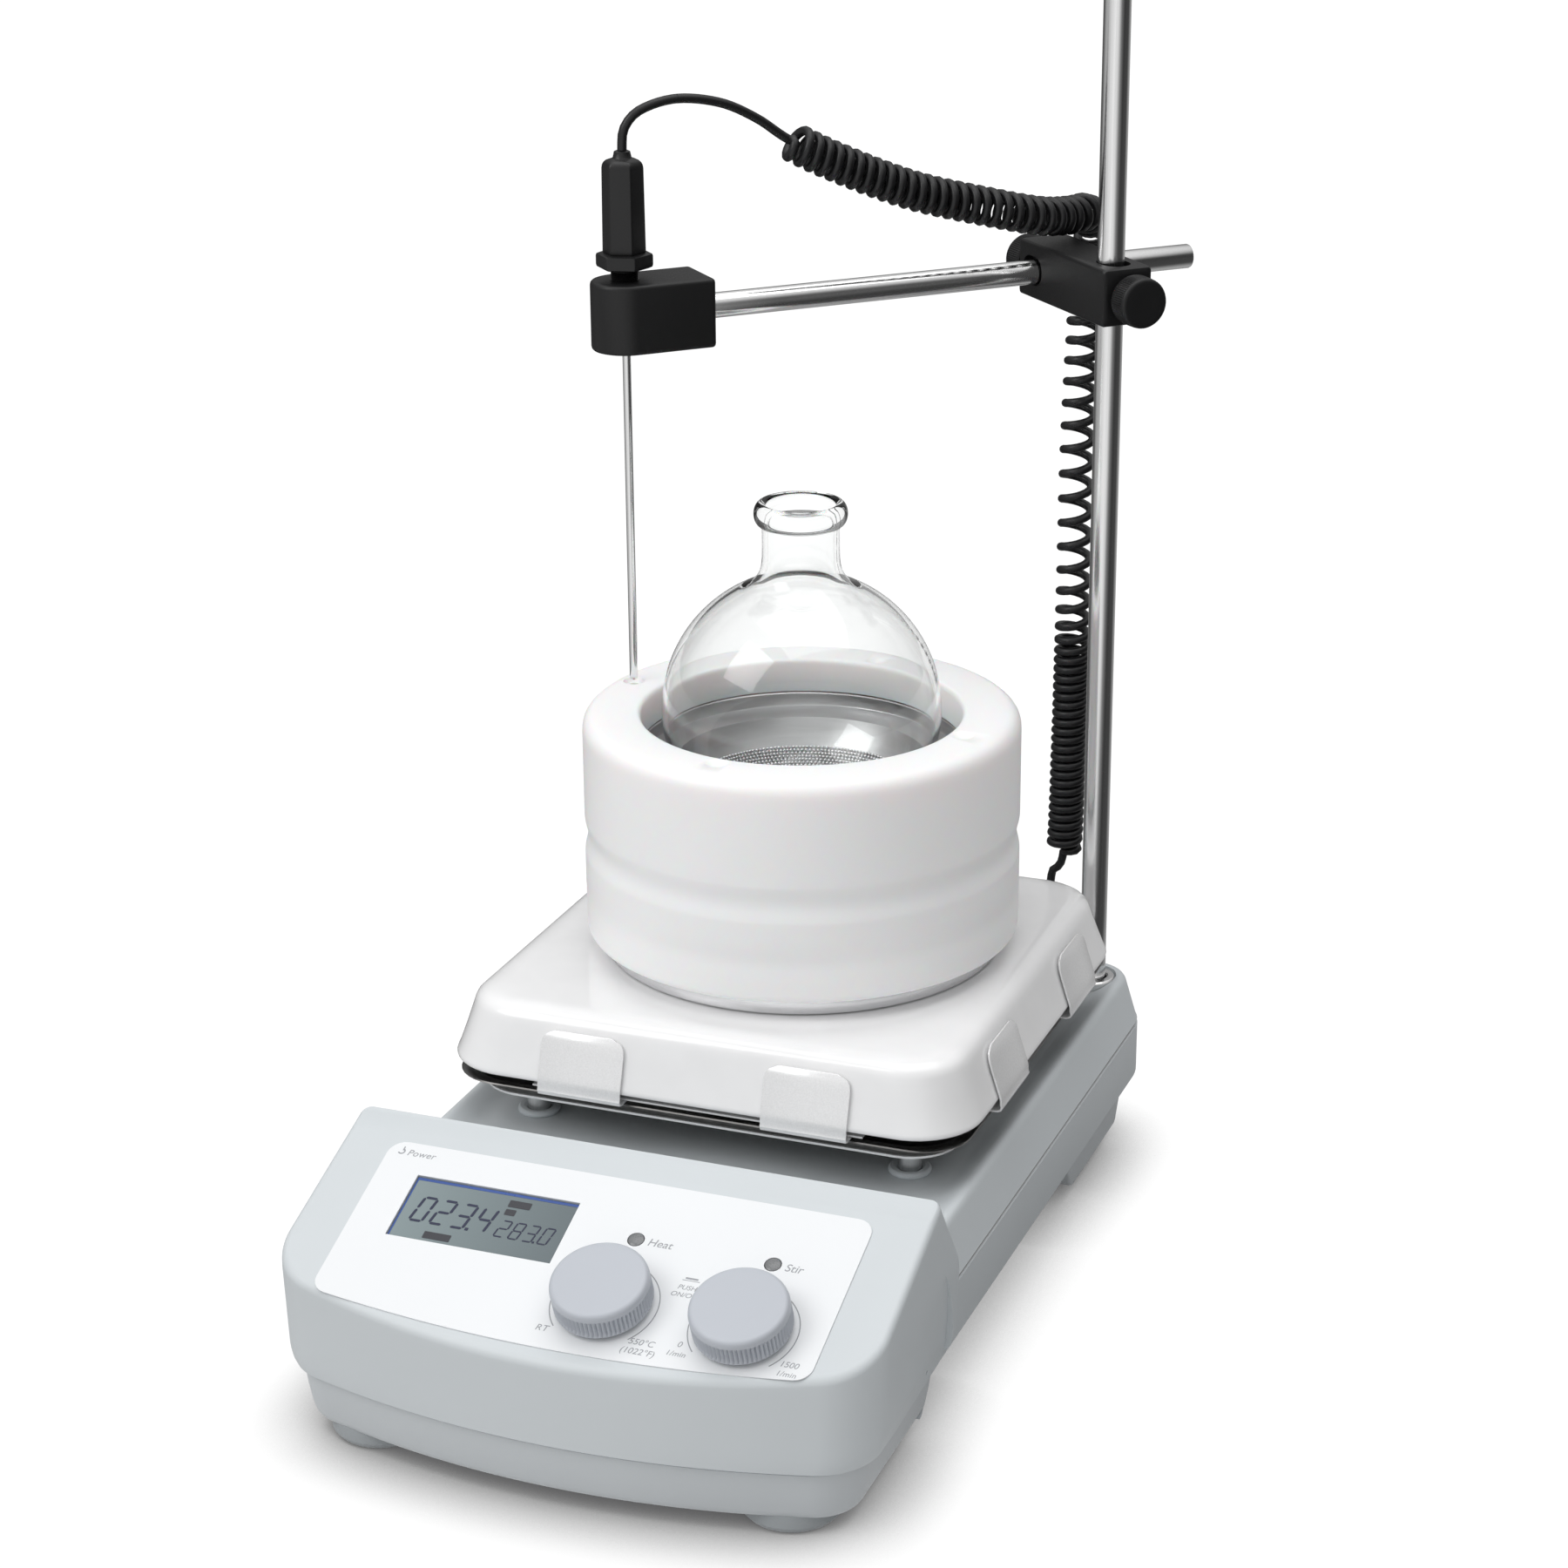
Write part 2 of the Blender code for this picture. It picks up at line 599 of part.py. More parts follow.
# ---- rear connections and electronics -------------------------------------------------------
def make_rear_fittings():
    """The mains inlet, the power switch and the probe's socket, in the rear wall."""
    face = REAR_Y + 1.5
    (x, z), (half_x, half_z) = REAR_HOLES["inlet"]
    inlet = block("mains_inlet", (x - half_x + GAP, REAR_Y - 20, z - half_z + GAP),
                  (x + half_x - GAP, face, z + half_z - GAP), "black_plastic", housing_frame)
    mouth = block("inlet_mouth", (x - 12.2, REAR_Y - 14, z - 8.0), (x + 12.2, face + 4, z + 8.0),
                  None, housing_frame)
    combine(inlet, mouth)
    pins = (-7.0, 0.0, 7.0)
    for pin in pins:
        blade = block("inlet_pin", (x + pin - 1, REAR_Y - 16, z - 2), (x + pin + 1, REAR_Y - 6, z + 2),
                      None, housing_frame)
        combine(inlet, blade, "UNION")
    (x, z), (half_x, half_z) = REAR_HOLES["switch"]
    frame = block("switch_frame", (x - half_x + GAP, REAR_Y - 14, z - half_z + GAP),
                  (x + half_x - GAP, face, z + half_z - GAP), "black_plastic", housing_frame)
    well = block("switch_well", (x - 9.2, REAR_Y - 10, z - 5.2), (x + 9.2, face + 4, z + 5.2),
                 None, housing_frame)
    combine(frame, well)
    prism("power_rocker", [(-8, -3.4), (8, -3.4), (8, 1.2), (0, 3.0), (-8, 4.6)],
          -4.6, 4.6, "Z", "black_plastic", housing_frame, (x, REAR_Y - 2.0, z))
    (x, z), (half, _) = REAR_HOLES["socket"]
    ring = [(half - GAP, REAR_Y + 2), (half - GAP, REAR_Y - 12), (4.2, REAR_Y - 12),
            (4.2, REAR_Y + 2)]
    socket = turned("probe_socket", [(r, -y) for r, y in reversed(ring)], "black_plastic",
                    housing_frame, (x, 0, z), 20, ring=True)
    socket.rotation_euler = (pi / 2, 0, 0)


def make_boards():
    """The power board on the tray's floor."""
    block("power_pcb", (-85, -80, 27), (-30, 20, 28.6), "board_green", housing_frame)


# ---- drive ----------------------------------------------------------------------------------
def make_drive():
    """The motor under the deck, and the magnet that it spins beneath the hot plate."""
    cylinder("stirrer_motor", 21, 26.5, 50, "steel", plate_frame, sides=28)
    bracket = block("motor_bracket", (-34, -26, 50.3), (34, 26, 52.3), "dark_steel", plate_frame)
    combine(bracket, cylinder("bracket_hole", 6, 48, 55, None, plate_frame, sides=16))
    cylinder("motor_shaft", 3, 50.6, 79.7, "steel", plate_frame, sides=16)
    block("magnet_yoke", (-32, -9, 80.0), (32, 9, 83.0), "dark_steel", plate_frame)
    for name, side in (("magnet_north", -1), ("magnet_south", 1)):
        low, high = sorted((side * 12, side * 31))
        block(name, (low, -8, 83.3), (high, 8, 92), "magnet", plate_frame)


# ---- hot plate ------------------------------------------------------------------------------
def square_ring(half, radius, steps=5):
    """A rounded square about the middle of the plate."""
    return rectangle(half, half, radius, steps)


def make_hot_plate():
    """The white ceramic top, an inverted dish with sloping sides."""
    rings = [
        (square_ring(PLATE_TOP_HALF - 5.0, 17), PLATE_TOP_Z),
        (square_ring(PLATE_TOP_HALF - 1.5, 20), PLATE_TOP_Z - 0.8),
        (square_ring(PLATE_TOP_HALF + 0.6, 22), PLATE_TOP_Z - 3.5),
        (square_ring(RIM_HALF - 0.5, 24), RIM_Z + 3.0),
        (square_ring(RIM_HALF, 24), RIM_Z + 1.0),
        (square_ring(RIM_HALF - 1.0, 23), RIM_Z),
        (square_ring(RIM_HALF - RIM_WALL, 20), RIM_Z),
        (square_ring(PLATE_TOP_HALF - RIM_WALL, 18), PLATE_TOP_Z - PLATE_THICK),
    ]
    loft("hot_plate", rings, "ceramic_white", plate_frame)
    cylinder("heater", 72, 95.5, PLATE_TOP_Z - PLATE_THICK - GAP, "dark_steel", plate_frame,
             sides=36)


def make_heat_shield():
    """The pressed steel tray between the plate and the deck."""
    rings = [
        (square_ring(SHIELD_HALF - 4, 14, 3), SHIELD_Z),
        (square_ring(SHIELD_HALF, 16, 3), SHIELD_Z + 1.0),
        (square_ring(SHIELD_HALF + 4, 18, 3), SHIELD_Z + 6.2),
        (square_ring(SHIELD_HALF + 8, 18, 3), SHIELD_Z + 6.6),
        (square_ring(SHIELD_HALF + 8, 18, 3), SHIELD_Z + 7.6),
        (square_ring(SHIELD_HALF + 3.2, 18, 3), SHIELD_Z + 7.2),
        (square_ring(SHIELD_HALF - 1.0, 15, 3), SHIELD_Z + 1.9),
        (square_ring(SHIELD_HALF - 4, 14, 3), SHIELD_Z + 1.0),
    ]
    tray = loft("heat_shield", rings, "dark_steel", plate_frame)
    combine(tray, cylinder("shield_hole", 7, 60, 90, None, plate_frame, sides=16))


def wall_slope(z):
    """How far the plate's sloping side stands from its middle at a height."""
    lean = (RIM_HALF - PLATE_TOP_HALF - 0.6) / (PLATE_TOP_Z - 3.5 - RIM_Z - 1.0)
    return RIM_HALF - (z - RIM_Z - 1.0) * lean


def make_clips():
    """Four steel strips under the rim, each with two tabs that hold the plate's sloping side."""
    low, bend, top = RIM_Z - 3.4, RIM_Z - 0.6, PLATE_TOP_Z - 5.5
    tab_half, thick = 16.0, 0.9
    inner_low = RIM_HALF + 0.5
    inner_top = wall_slope(top) + 0.5
    section = [
        (-84, low), (-84, low + thick), (-(inner_low - 0.2), low + thick),
        (-inner_low, bend), (-inner_top, top), (-(inner_top + thick), top),
        (-(inner_low + thick), bend), (-(inner_low + thick), low),
    ]
    for name, turn in (("front", 0), ("right", 90), ("back", 180), ("left", 270)):
        side_frame = add_frame("clip_frame_" + name, turn=(0, 0, turn), parent=plate_frame)
        strip = block("plate_clip_" + name, (-62, -inner_low + 3.5, low), (62, -88, low + thick),
                      "steel", side_frame)
        for side in (-1, 1):
            middle = side * 42
            tab = prism("clip_tab_" + name, section, middle - tab_half, middle + tab_half, "X",
                        None, side_frame)
            combine(strip, tab, "UNION")


def make_posts():
    """Steel posts that hold the heat shield over the deck, each with a collar at its foot."""
    for name, (a, b) in {"front_left": (-1, -1), "front_right": (1, -1), "rear_left": (-1, 1),
                         "rear_right": (1, 1)}.items():
        foot = DECK_Z + GAP
        top = SHIELD_Z - GAP
        profile = [(0, top), (POST_R, top), (POST_R, foot + 2.2), (7.5, foot + 1.6), (7.5, foot),
                   (0, foot)]
        turned("post_" + name, profile, "steel", plate_frame, (a * POST_SPOT, b * POST_SPOT, 0), 20)


# ---- flask and carrier ----------------------------------------------------------------------
def arc(radius, middle_z, first, last, steps):
    """Profile points on a circle about (0, middle_z), by angles from straight up, in degrees."""
    return [
        (radius * sin(radians(first + (last - first) * k / steps)),
         middle_z + radius * cos(radians(first + (last - first) * k / steps)))
        for k in range(steps + 1)
    ]


def make_carrier():
    """The aluminium cup that the flask sits in, and its white jacket."""
    wall_meets = degrees(acos(-20.0 / POCKET_R))
    pocket = arc(POCKET_R, FLASK_Z, 180, wall_meets, 6)
    profile = [
        (POCKET_MOUTH_R, CORE_TOP_Z), (CORE_R, CORE_TOP_Z), (CORE_R, CARRIER_FLOOR_Z + 0.4),
        (CARRIER_BASE_R, CARRIER_FLOOR_Z - GAP), (CARRIER_BASE_R, PLATE_TOP_Z + GAP),
        (0, PLATE_TOP_Z + GAP),
    ]
    inside = [(r, z) for r, z in pocket] + [(POCKET_MOUTH_R, FLASK_Z - 19.0)]
    turned("carrier_core", [(0, inside[0][1])] + inside[1:] + profile, "aluminium",
           carrier_frame, steps=36)
    jacket_bottom = CARRIER_FLOOR_Z + 0.7
    outline = [
        (POCKET_MOUTH_R + 1.5, CARRIER_TOP_Z), (CARRIER_R - 5, CARRIER_TOP_Z),
        (CARRIER_R - 1.4, CARRIER_TOP_Z - 1.4), (CARRIER_R, CARRIER_TOP_Z - 5),
        (CARRIER_R, GROOVE_Z + 8), (CARRIER_R - GROOVE_DEEP, GROOVE_Z + 2),
        (CARRIER_R - GROOVE_DEEP, GROOVE_Z - 2), (CARRIER_R, GROOVE_Z - 8),
        (CARRIER_R, jacket_bottom), (CORE_R + GAP, jacket_bottom),
        (CORE_R + GAP, CORE_TOP_Z + GAP), (POCKET_MOUTH_R, CORE_TOP_Z + GAP),
        (POCKET_MOUTH_R, CARRIER_TOP_Z - 1.5),
    ]
    jacket = turned("carrier_jacket", outline, "ptfe_white", carrier_frame, steps=40, ring=True)
    hole = cylinder("probe_hole", 2.2, CARRIER_TOP_Z - PROBE_HOLE_DEEP, CARRIER_TOP_Z + 5, None,
                    probe_plan_frame, sides=16)
    combine(jacket, hole)


def make_flask():
    """A round-bottomed glass flask with a beaded neck, open at the top."""
    neck_r, bead_r = 13.8, 16.5
    neck_meets = 18.5  # degrees from straight up, where the ball runs into the neck
    inner_r = FLASK_R - FLASK_WALL
    outside = arc(FLASK_R, FLASK_Z, neck_meets + 4, 180, 14)
    inside = arc(inner_r, FLASK_Z, 180, neck_meets + 4, 14)
    base_z = FLASK_Z + FLASK_R * cos(radians(neck_meets))
    profile = (
        [(neck_r - FLASK_WALL, FLASK_TOP_Z - 3), (neck_r - 0.6, FLASK_TOP_Z - 0.5),
         (neck_r + 1, FLASK_TOP_Z), (bead_r, FLASK_TOP_Z - 3), (bead_r, FLASK_TOP_Z - 8),
         (neck_r, FLASK_TOP_Z - 11), (neck_r, base_z + 5), (neck_r + 1.2, base_z + 1.5)]
        + outside[:-1] + [(0, FLASK_Z - FLASK_R), (0, FLASK_Z - inner_r)] + inside[1:]
        + [(neck_r + 1.2 - FLASK_WALL, base_z + 1), (neck_r - FLASK_WALL, base_z + 5)]
    )
    turned("flask", profile, "glass", carrier_frame, steps=24, ring=True)


# ---- support rod, clamp and arm -------------------------------------------------------------
def make_rod():
    """The upright rod, and the bush in the deck that it turns in."""
    bush = cylinder("rod_bush", BUSH_R, 34, DECK_Z + 4, "steel", rod_frame, sides=24)
    bore = cylinder("rod_bush_bore", ROD_R + HINGE_RUN, ROD_BOTTOM_Z - 0.5, 90, None, rod_frame,
                    sides=24)
    combine(bush, bore)
    rod = cylinder("support_rod", ROD_R, ROD_BOTTOM_Z, ROD_TOP_Z, "steel", rod_frame, sides=24)
    round_edges(rod, 0.8, 1)


def make_clamp():
    """The boss head that joins the arm to the rod, and its two thumb screws."""
    low = (-ARM_OFFSET - CLAMP_END, -CLAMP_HALF[0], -CLAMP_HALF[1])
    high = (CLAMP_END, CLAMP_HALF[0], CLAMP_HALF[1])
    body = block("clamp_block", low, high, "black_plastic", clamp_frame, 1.5, 2)
    combine(body, cylinder("rod_bore", ROD_R + HINGE_RUN, -20, 20, None, clamp_frame, sides=24))
    combine(body, cylinder("arm_bore", ARM_R + HINGE_RUN, -20, 20, None, arm_frame, sides=24,
                           axis="Y"))
    ends = (("rod_screw", clamp_frame, 1, ROD_R), ("arm_screw", arm_frame, -1, ARM_R))
    for name, parent, side, bar in ends:
        screw_frame = add_frame(name + "_frame", turn=(0, 90 * side, 0), parent=parent)
        tip = bar + HINGE_RUN + 0.8
        profile = [
            (0, CLAMP_END + 13.0), (8.4, CLAMP_END + 13.0), (9.25, CLAMP_END + 12.0),
            (9.25, CLAMP_END + 4.0), (8.4, CLAMP_END + 3.0), (4.5, CLAMP_END + 3.0),
            (4.5, CLAMP_END + 0.4), (2.5, CLAMP_END + 0.4), (2.5, tip), (0, tip),
        ]
        turned(name, profile, "black_plastic", screw_frame, steps=24)
        hole = cylinder(name + "_hole", 2.5 + GAP, 0, CLAMP_END + 5, None, screw_frame, sides=16)
        combine(body, hole)


def make_arm():
    """The level arm and the block on its end that holds the probe."""
    arm_start = -REACH + 14.0
    rod = cylinder("arm_rod", ARM_R, arm_start, ARM_TAIL, "steel", arm_frame, sides=24, axis="Y")
    round_edges(rod, 0.6, 1)
    outline = rounded([
        (-HOLDER_HALF, HOLDER_LONG, 1.5), (-HOLDER_HALF, -HOLDER_HALF, HOLDER_HALF - 0.01),
        (HOLDER_HALF, -HOLDER_HALF, HOLDER_HALF - 0.01), (HOLDER_HALF, HOLDER_LONG, 1.5),
    ], 6)
    holder = prism("probe_holder", outline, -HOLDER_HALF, HOLDER_HALF, "Z", "black_plastic",
                   probe_frame)
    round_edges(holder, 1.2, 2)
    combine(holder, cylinder("holder_bore", PROBE_R + HINGE_RUN, -20, 20, None, probe_frame,
                             sides=16))
    combine(holder, cylinder("holder_socket", ARM_R + HINGE_RUN, 13, 50, None, probe_frame,
                             sides=24, axis="Y"))


def make_probe():
    """The probe's handle with its nut, and its thin steel sheath."""
    neck = HOLDER_HALF + GAP
    sizes = [  # height above the neck's foot, and distance from the axis to a corner
        (0, 5.0), (4.0, 5.0), (4.2, 10.4), (9.6, 10.4), (9.8, 7.9), (40.0, 7.6), (42.0, 6.6),
        (43.5, 3.4), (45.5, 2.6),
    ]
    rings = [
        ([(radius * cos(pi * k / 3), radius * sin(pi * k / 3)) for k in range(6)], neck + up)
        for up, radius in sizes
    ]
    handle = loft("probe_handle", rings, "black_plastic", probe_frame)
    sheath_top = neck + 3.0
    combine(handle, cylinder("handle_bore", PROBE_R + GAP, 0, sheath_top + GAP, None, probe_frame,
                             sides=12))
    cylinder("probe_sheath", PROBE_R, PROBE_TIP_Z - ARM_Z, sheath_top, "steel", probe_frame,
             sides=16)


# ---- probe cord -----------------------------------------------------------------------------
def smooth_route(points, first, last, count):
    """Evenly spaced places on the smooth curve through the points, from one of them to another."""
    def place(t):
        n = min(int(t), len(points) - 2)
        f = t - n
        a = Vector(points[max(n - 1, 0)])
        b, c = Vector(points[n]), Vector(points[n + 1])
        d = Vector(points[min(n + 2, len(points) - 1)])
        return 0.5 * (2 * b + (c - a) * f + (2 * a - 5 * b + 4 * c - d) * f ** 2
                      + (3 * b - a - 3 * c + d) * f ** 3)

    steps = 400
    fine = [place(first + (last - first) * k / steps) for k in range(steps + 1)]
    runs = [0.0]
    for a, b in zip(fine, fine[1:]):
        runs.append(runs[-1] + (b - a).length)
    route, n = [], 0
    for k in range(count):
        goal = runs[-1] * k / (count - 1)
        while n < steps - 1 and runs[n + 1] < goal:
            n += 1
        step = max(runs[n + 1] - runs[n], 1e-9)
        route.append(fine[n].lerp(fine[n + 1], (goal - runs[n]) / step))
    return route


def trimmed(route, amount):
    """The route with a little taken off its ends."""
    first = (route[1] - route[0]).normalized()
    last = (route[-1] - route[-2]).normalized()
    return [route[0] + first * amount] + route[1:-1] + [route[-1] - last * amount]


# The cord's route, measured from the middle of the housing: it leaves the top of the probe's
# handle, arches over to the coiled stretch, which crosses the clamp, hangs behind it, and ends in
# a straight tail that comes back to the socket in the rear wall.
CORD_ROUTE = [
    (-66.3, 57.2, 396.5), (-65.6, 57.9, 404.0), (-61.0, 62.0, 410.0), (-51.0, 71.0, 413.0),
    (-39.0, 82.0, 410.5), (-29.0, 91.5, 404.0), (-20.0, 100.0, 395.5), (-6.0, 112.0, 386.0),
    (16.0, 131.0, 374.0), (38.0, 152.0, 365.5), (52.0, 170.0, 359.8), (58.5, 186.0, 357.4),
    (61.5, 198.5, 356.2), (61.0, 211.0, 348.5), (56.5, 220.5, 320.0), (54.0, 222.0, 260.0),
    (53.6, 222.0, 200.0), (53.0, 222.0, 140.0), (51.7, 222.0, 88.0), (47.0, 222.0, 78.0),
    (47.0, 221.5, 64.0), (51.0, 218.0, 49.0), (57.5, 210.0, 40.3), (62.0, 199.6, 38.0),
]
CORD_SPANS = (  # name, first and last place on the route, radius, points along it
    ("cord_lead_front", 0, 3, CORD_R, 14), ("cord_lead_rear", 3, 6, CORD_R, 14),
    ("cord_coil_upper", 6, 10, COIL_R, 16), ("cord_coil_bend", 10, 14, COIL_R, 14),
    ("cord_coil_lower", 14, 18, COIL_R, 16), ("cord_tail", 18, 23, CORD_R, 18),
)


def make_cord():
    """The probe's cord: two plain leads, the coiled stretch as fat tubes, the tail and its plug."""
    for name, first, last, radius, count in CORD_SPANS:
        route = trimmed(smooth_route(CORD_ROUTE, first, last, count), GAP + radius / 9)
        tube(name, route, radius, "black_plastic", housing_frame)
    x, z = REAR_HOLES["socket"][0]
    profile = [
        (0, REAR_Y - 9), (3.8, REAR_Y - 9), (3.8, REAR_Y + 2.4), (6.4, REAR_Y + 2.4),
        (6.4, REAR_Y + 16), (3.6, REAR_Y + 19), (2.6, REAR_Y + 27.3), (0, REAR_Y + 27.3),
    ]
    plug = turned("cord_plug", [(r, -y) for r, y in profile], "black_plastic", housing_frame,
                  (x, 0, z), 16)
    plug.rotation_euler = (pi / 2, 0, 0)


make_upper_housing()
make_lower_housing()
make_feet()
make_label()
make_display()
for control in ("heat", "stir"):
    make_lamp(control)
    make_knob(control)
make_rear_fittings()
make_boards()
make_drive()
make_hot_plate()
make_heat_shield()
make_clips()
make_posts()
make_carrier()
make_flask()
make_rod()
make_clamp()
make_arm()
make_probe()
make_cord()
bpy.context.view_layer.update()
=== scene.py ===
"""The looks of a heating magnetic stirrer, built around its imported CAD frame.

Lengths are in millimetres until a mesh is made, and most are measured from the middle of the
housing, in the same places as the CAD part has them.
"""

from math import acos, cos, pi, radians, sin, sqrt, tan

import bmesh
import bpy
from mathutils import Matrix, Vector


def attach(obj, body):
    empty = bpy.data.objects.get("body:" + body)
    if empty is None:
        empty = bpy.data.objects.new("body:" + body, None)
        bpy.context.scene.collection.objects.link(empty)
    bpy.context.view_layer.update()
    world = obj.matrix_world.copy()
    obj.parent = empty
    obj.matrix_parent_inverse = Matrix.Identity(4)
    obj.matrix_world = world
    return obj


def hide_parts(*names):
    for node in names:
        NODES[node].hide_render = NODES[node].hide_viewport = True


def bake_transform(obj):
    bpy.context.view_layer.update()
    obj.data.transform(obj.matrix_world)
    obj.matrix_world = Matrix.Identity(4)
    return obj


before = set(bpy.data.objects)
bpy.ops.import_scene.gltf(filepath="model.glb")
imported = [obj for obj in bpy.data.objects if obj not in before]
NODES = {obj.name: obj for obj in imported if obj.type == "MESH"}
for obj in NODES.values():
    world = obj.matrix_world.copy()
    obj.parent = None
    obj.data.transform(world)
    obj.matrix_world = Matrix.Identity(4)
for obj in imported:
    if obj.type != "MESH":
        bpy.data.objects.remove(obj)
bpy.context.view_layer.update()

MM = 0.001

# ---- places ---------------------------------------------------------------------------------
PANEL_TILT = radians(21.2)
PANEL_Y, PANEL_Z = -138.8, 72.65
PLATE_Y = 45.0
ARM_Z = 338.0
HOUSING = Matrix.Translation((0, -21, 0))
PANEL = HOUSING @ Matrix.Translation((0, PANEL_Y, PANEL_Z)) @ Matrix.Rotation(PANEL_TILT, 4, "X")
PLATE = HOUSING @ Matrix.Translation((0, PLATE_Y, 0))
CARRIER = HOUSING @ Matrix.Translation((3, 49, 0))
ROD = HOUSING @ Matrix.Translation((85, 152, 0))
CLAMP = ROD @ Matrix.Translation((0, 0, ARM_Z)) @ Matrix.Rotation(radians(-45), 4, "Z")
ARM = CLAMP @ Matrix.Translation((-40, 0, 0))
PROBE = ARM @ Matrix.Translation((0, -174, 0))

KNOBS = {"heat": (12.0, -18.5), "stir": (60.2, -18.6)}
LAMPS = {"heat": (12.0, 9.5), "stir": (60.2, 9.2)}
LCD_MIDDLE, LCD_HALF = (-42.4, 7.0), (30.0, 13.6)


# ---- materials ------------------------------------------------------------------------------
def material(name, colour, roughness=0.5, metallic=0.0, **sockets):
    """A Principled material and its node tree, with its plain numbers set."""
    m = bpy.data.materials.new(name)
    m.use_nodes = True
    tree = m.node_tree
    shader = tree.nodes["Principled BSDF"]
    shader.inputs["Base Color"].default_value = (*colour, 1)
    shader.inputs["Roughness"].default_value = roughness
    shader.inputs["Metallic"].default_value = metallic
    for socket, value in sockets.items():
        shader.inputs[socket.replace("_", " ")].default_value = value
    return m, tree, shader


def noise(tree, scale, detail=3.0, stretch=(1, 1, 1), rough=0.5):
    """A noise texture in the object's own metres, stretched along its axes."""
    where = tree.nodes.new("ShaderNodeTexCoord")
    spread = tree.nodes.new("ShaderNodeMapping")
    spread.inputs["Scale"].default_value = stretch
    texture = tree.nodes.new("ShaderNodeTexNoise")
    texture.inputs["Scale"].default_value = scale
    texture.inputs["Detail"].default_value = detail
    texture.inputs["Roughness"].default_value = rough
    tree.links.new(where.outputs["Object"], spread.inputs["Vector"])
    tree.links.new(spread.outputs["Vector"], texture.inputs["Vector"])
    return texture


def ramp(tree, source, low, high, socket, start=0.3, end=0.7):
    """A socket runs from one value or colour to another as the source rises."""
    if isinstance(low, tuple):
        node = tree.nodes.new("ShaderNodeValToRGB")
        node.color_ramp.elements[0].position = start
        node.color_ramp.elements[1].position = end
        node.color_ramp.elements[0].color = (*low, 1)
        node.color_ramp.elements[1].color = (*high, 1)
        tree.links.new(source, node.inputs["Fac"])
        tree.links.new(node.outputs["Color"], socket)
        return
    node = tree.nodes.new("ShaderNodeMapRange")
    node.inputs["From Min"].default_value = start
    node.inputs["From Max"].default_value = end
    node.inputs["To Min"].default_value = low
    node.inputs["To Max"].default_value = high
    tree.links.new(source, node.inputs["Value"])
    tree.links.new(node.outputs["Result"], socket)


def bump(tree, shader, source, strength, distance):
    """The surface rises and falls with the source."""
    node = tree.nodes.new("ShaderNodeBump")
    node.inputs["Strength"].default_value = strength
    node.inputs["Distance"].default_value = distance
    tree.links.new(source, node.inputs["Height"])
    tree.links.new(node.outputs["Normal"], shader.inputs["Normal"])


def plastic(name, colour, roughness, grain=0.15, grain_scale=1800, vary=0.03, **sockets):
    """Moulded plastic: a fine spark-eroded grain, and colour and gloss that wander a little."""
    m, tree, shader = material(name, colour, roughness, **sockets)
    soft = noise(tree, 18, 2)
    dark = tuple(c * (1 - vary) for c in colour)
    light = tuple(min(1, c * (1 + vary)) for c in colour)
    ramp(tree, soft.outputs["Fac"], dark, light, shader.inputs["Base Color"])
    fine = noise(tree, grain_scale, 2)
    ramp(tree, fine.outputs["Fac"], roughness * 0.9, min(1, roughness * 1.12),
         shader.inputs["Roughness"])
    bump(tree, shader, fine.outputs["Fac"], grain, 0.0001)
    return m


def metal(name, colour, roughness, stretch, scale=900, depth=0.12, spread=0.1, whole=1.0):
    """Drawn, turned or rolled metal, with fine lines along the way it was worked."""
    m, tree, shader = material(name, colour, roughness, whole)
    lines = noise(tree, scale, 4, stretch, 0.6)
    ramp(tree, lines.outputs["Fac"], roughness - spread, roughness + spread,
         shader.inputs["Roughness"])
    ramp(tree, lines.outputs["Fac"], tuple(c * 0.93 for c in colour),
         tuple(min(1, c * 1.05) for c in colour), shader.inputs["Base Color"])
    bump(tree, shader, lines.outputs["Fac"], depth, 0.00005)
    return m


SHELL = plastic("shell_grey", (0.60, 0.635, 0.655), 0.45, 0.08, 2200, 0.012)
LOWER = plastic("lower_shell", (0.57, 0.60, 0.62), 0.48, 0.10, 2000, 0.015)
STRIPE = plastic("stripe", (0.30, 0.28, 0.275), 0.5)
FOOT = plastic("foot_rubber", (0.36, 0.385, 0.40), 0.6, 0.3, 900, 0.05)
LABEL = plastic("label_film", (0.80, 0.815, 0.83), 0.36, 0.05, 3000, 0.006)
PRINT = plastic("label_print", (0.33, 0.34, 0.36), 0.5, 0.04, 3000, 0.02)
LAMP = plastic("lamp_lens", (0.17, 0.175, 0.18), 0.28, 0.03, 1500, 0.05, Coat_Weight=0.4)
KNOB = plastic("knob_grey", (0.475, 0.50, 0.545), 0.42, 0.08, 2400, 0.012)
BLACK = plastic("black_plastic", (0.009, 0.009, 0.0095), 0.42, 0.16, 1500, 0.12,
                Specular_IOR_Level=0.36)
HANDLE = plastic("handle_black", (0.008, 0.008, 0.0085), 0.34, 0.06, 1400, 0.12,
                 Specular_IOR_Level=0.4)
CORD = plastic("cord_black", (0.008, 0.008, 0.009), 0.36, 0.08, 1100, 0.2,
               Specular_IOR_Level=0.42)
JACKET = plastic("ptfe_white", (0.94, 0.94, 0.945), 0.44, 0.04, 1400, 0.006,
                 Subsurface_Weight=0.35, Subsurface_Scale=0.010)
SOCKET = plastic("socket_black", (0.02, 0.02, 0.021), 0.5, 0.2, 1200, 0.1)
STEEL_UP = metal("drawn_steel_upright", (0.80, 0.80, 0.80), 0.17, (1, 1, 0.01), 1500, 0.02, 0.02)
STEEL_SIDE = metal("drawn_steel_level", (0.80, 0.80, 0.80), 0.17, (1, 1, 1), 2500, 0.01, 0.015)
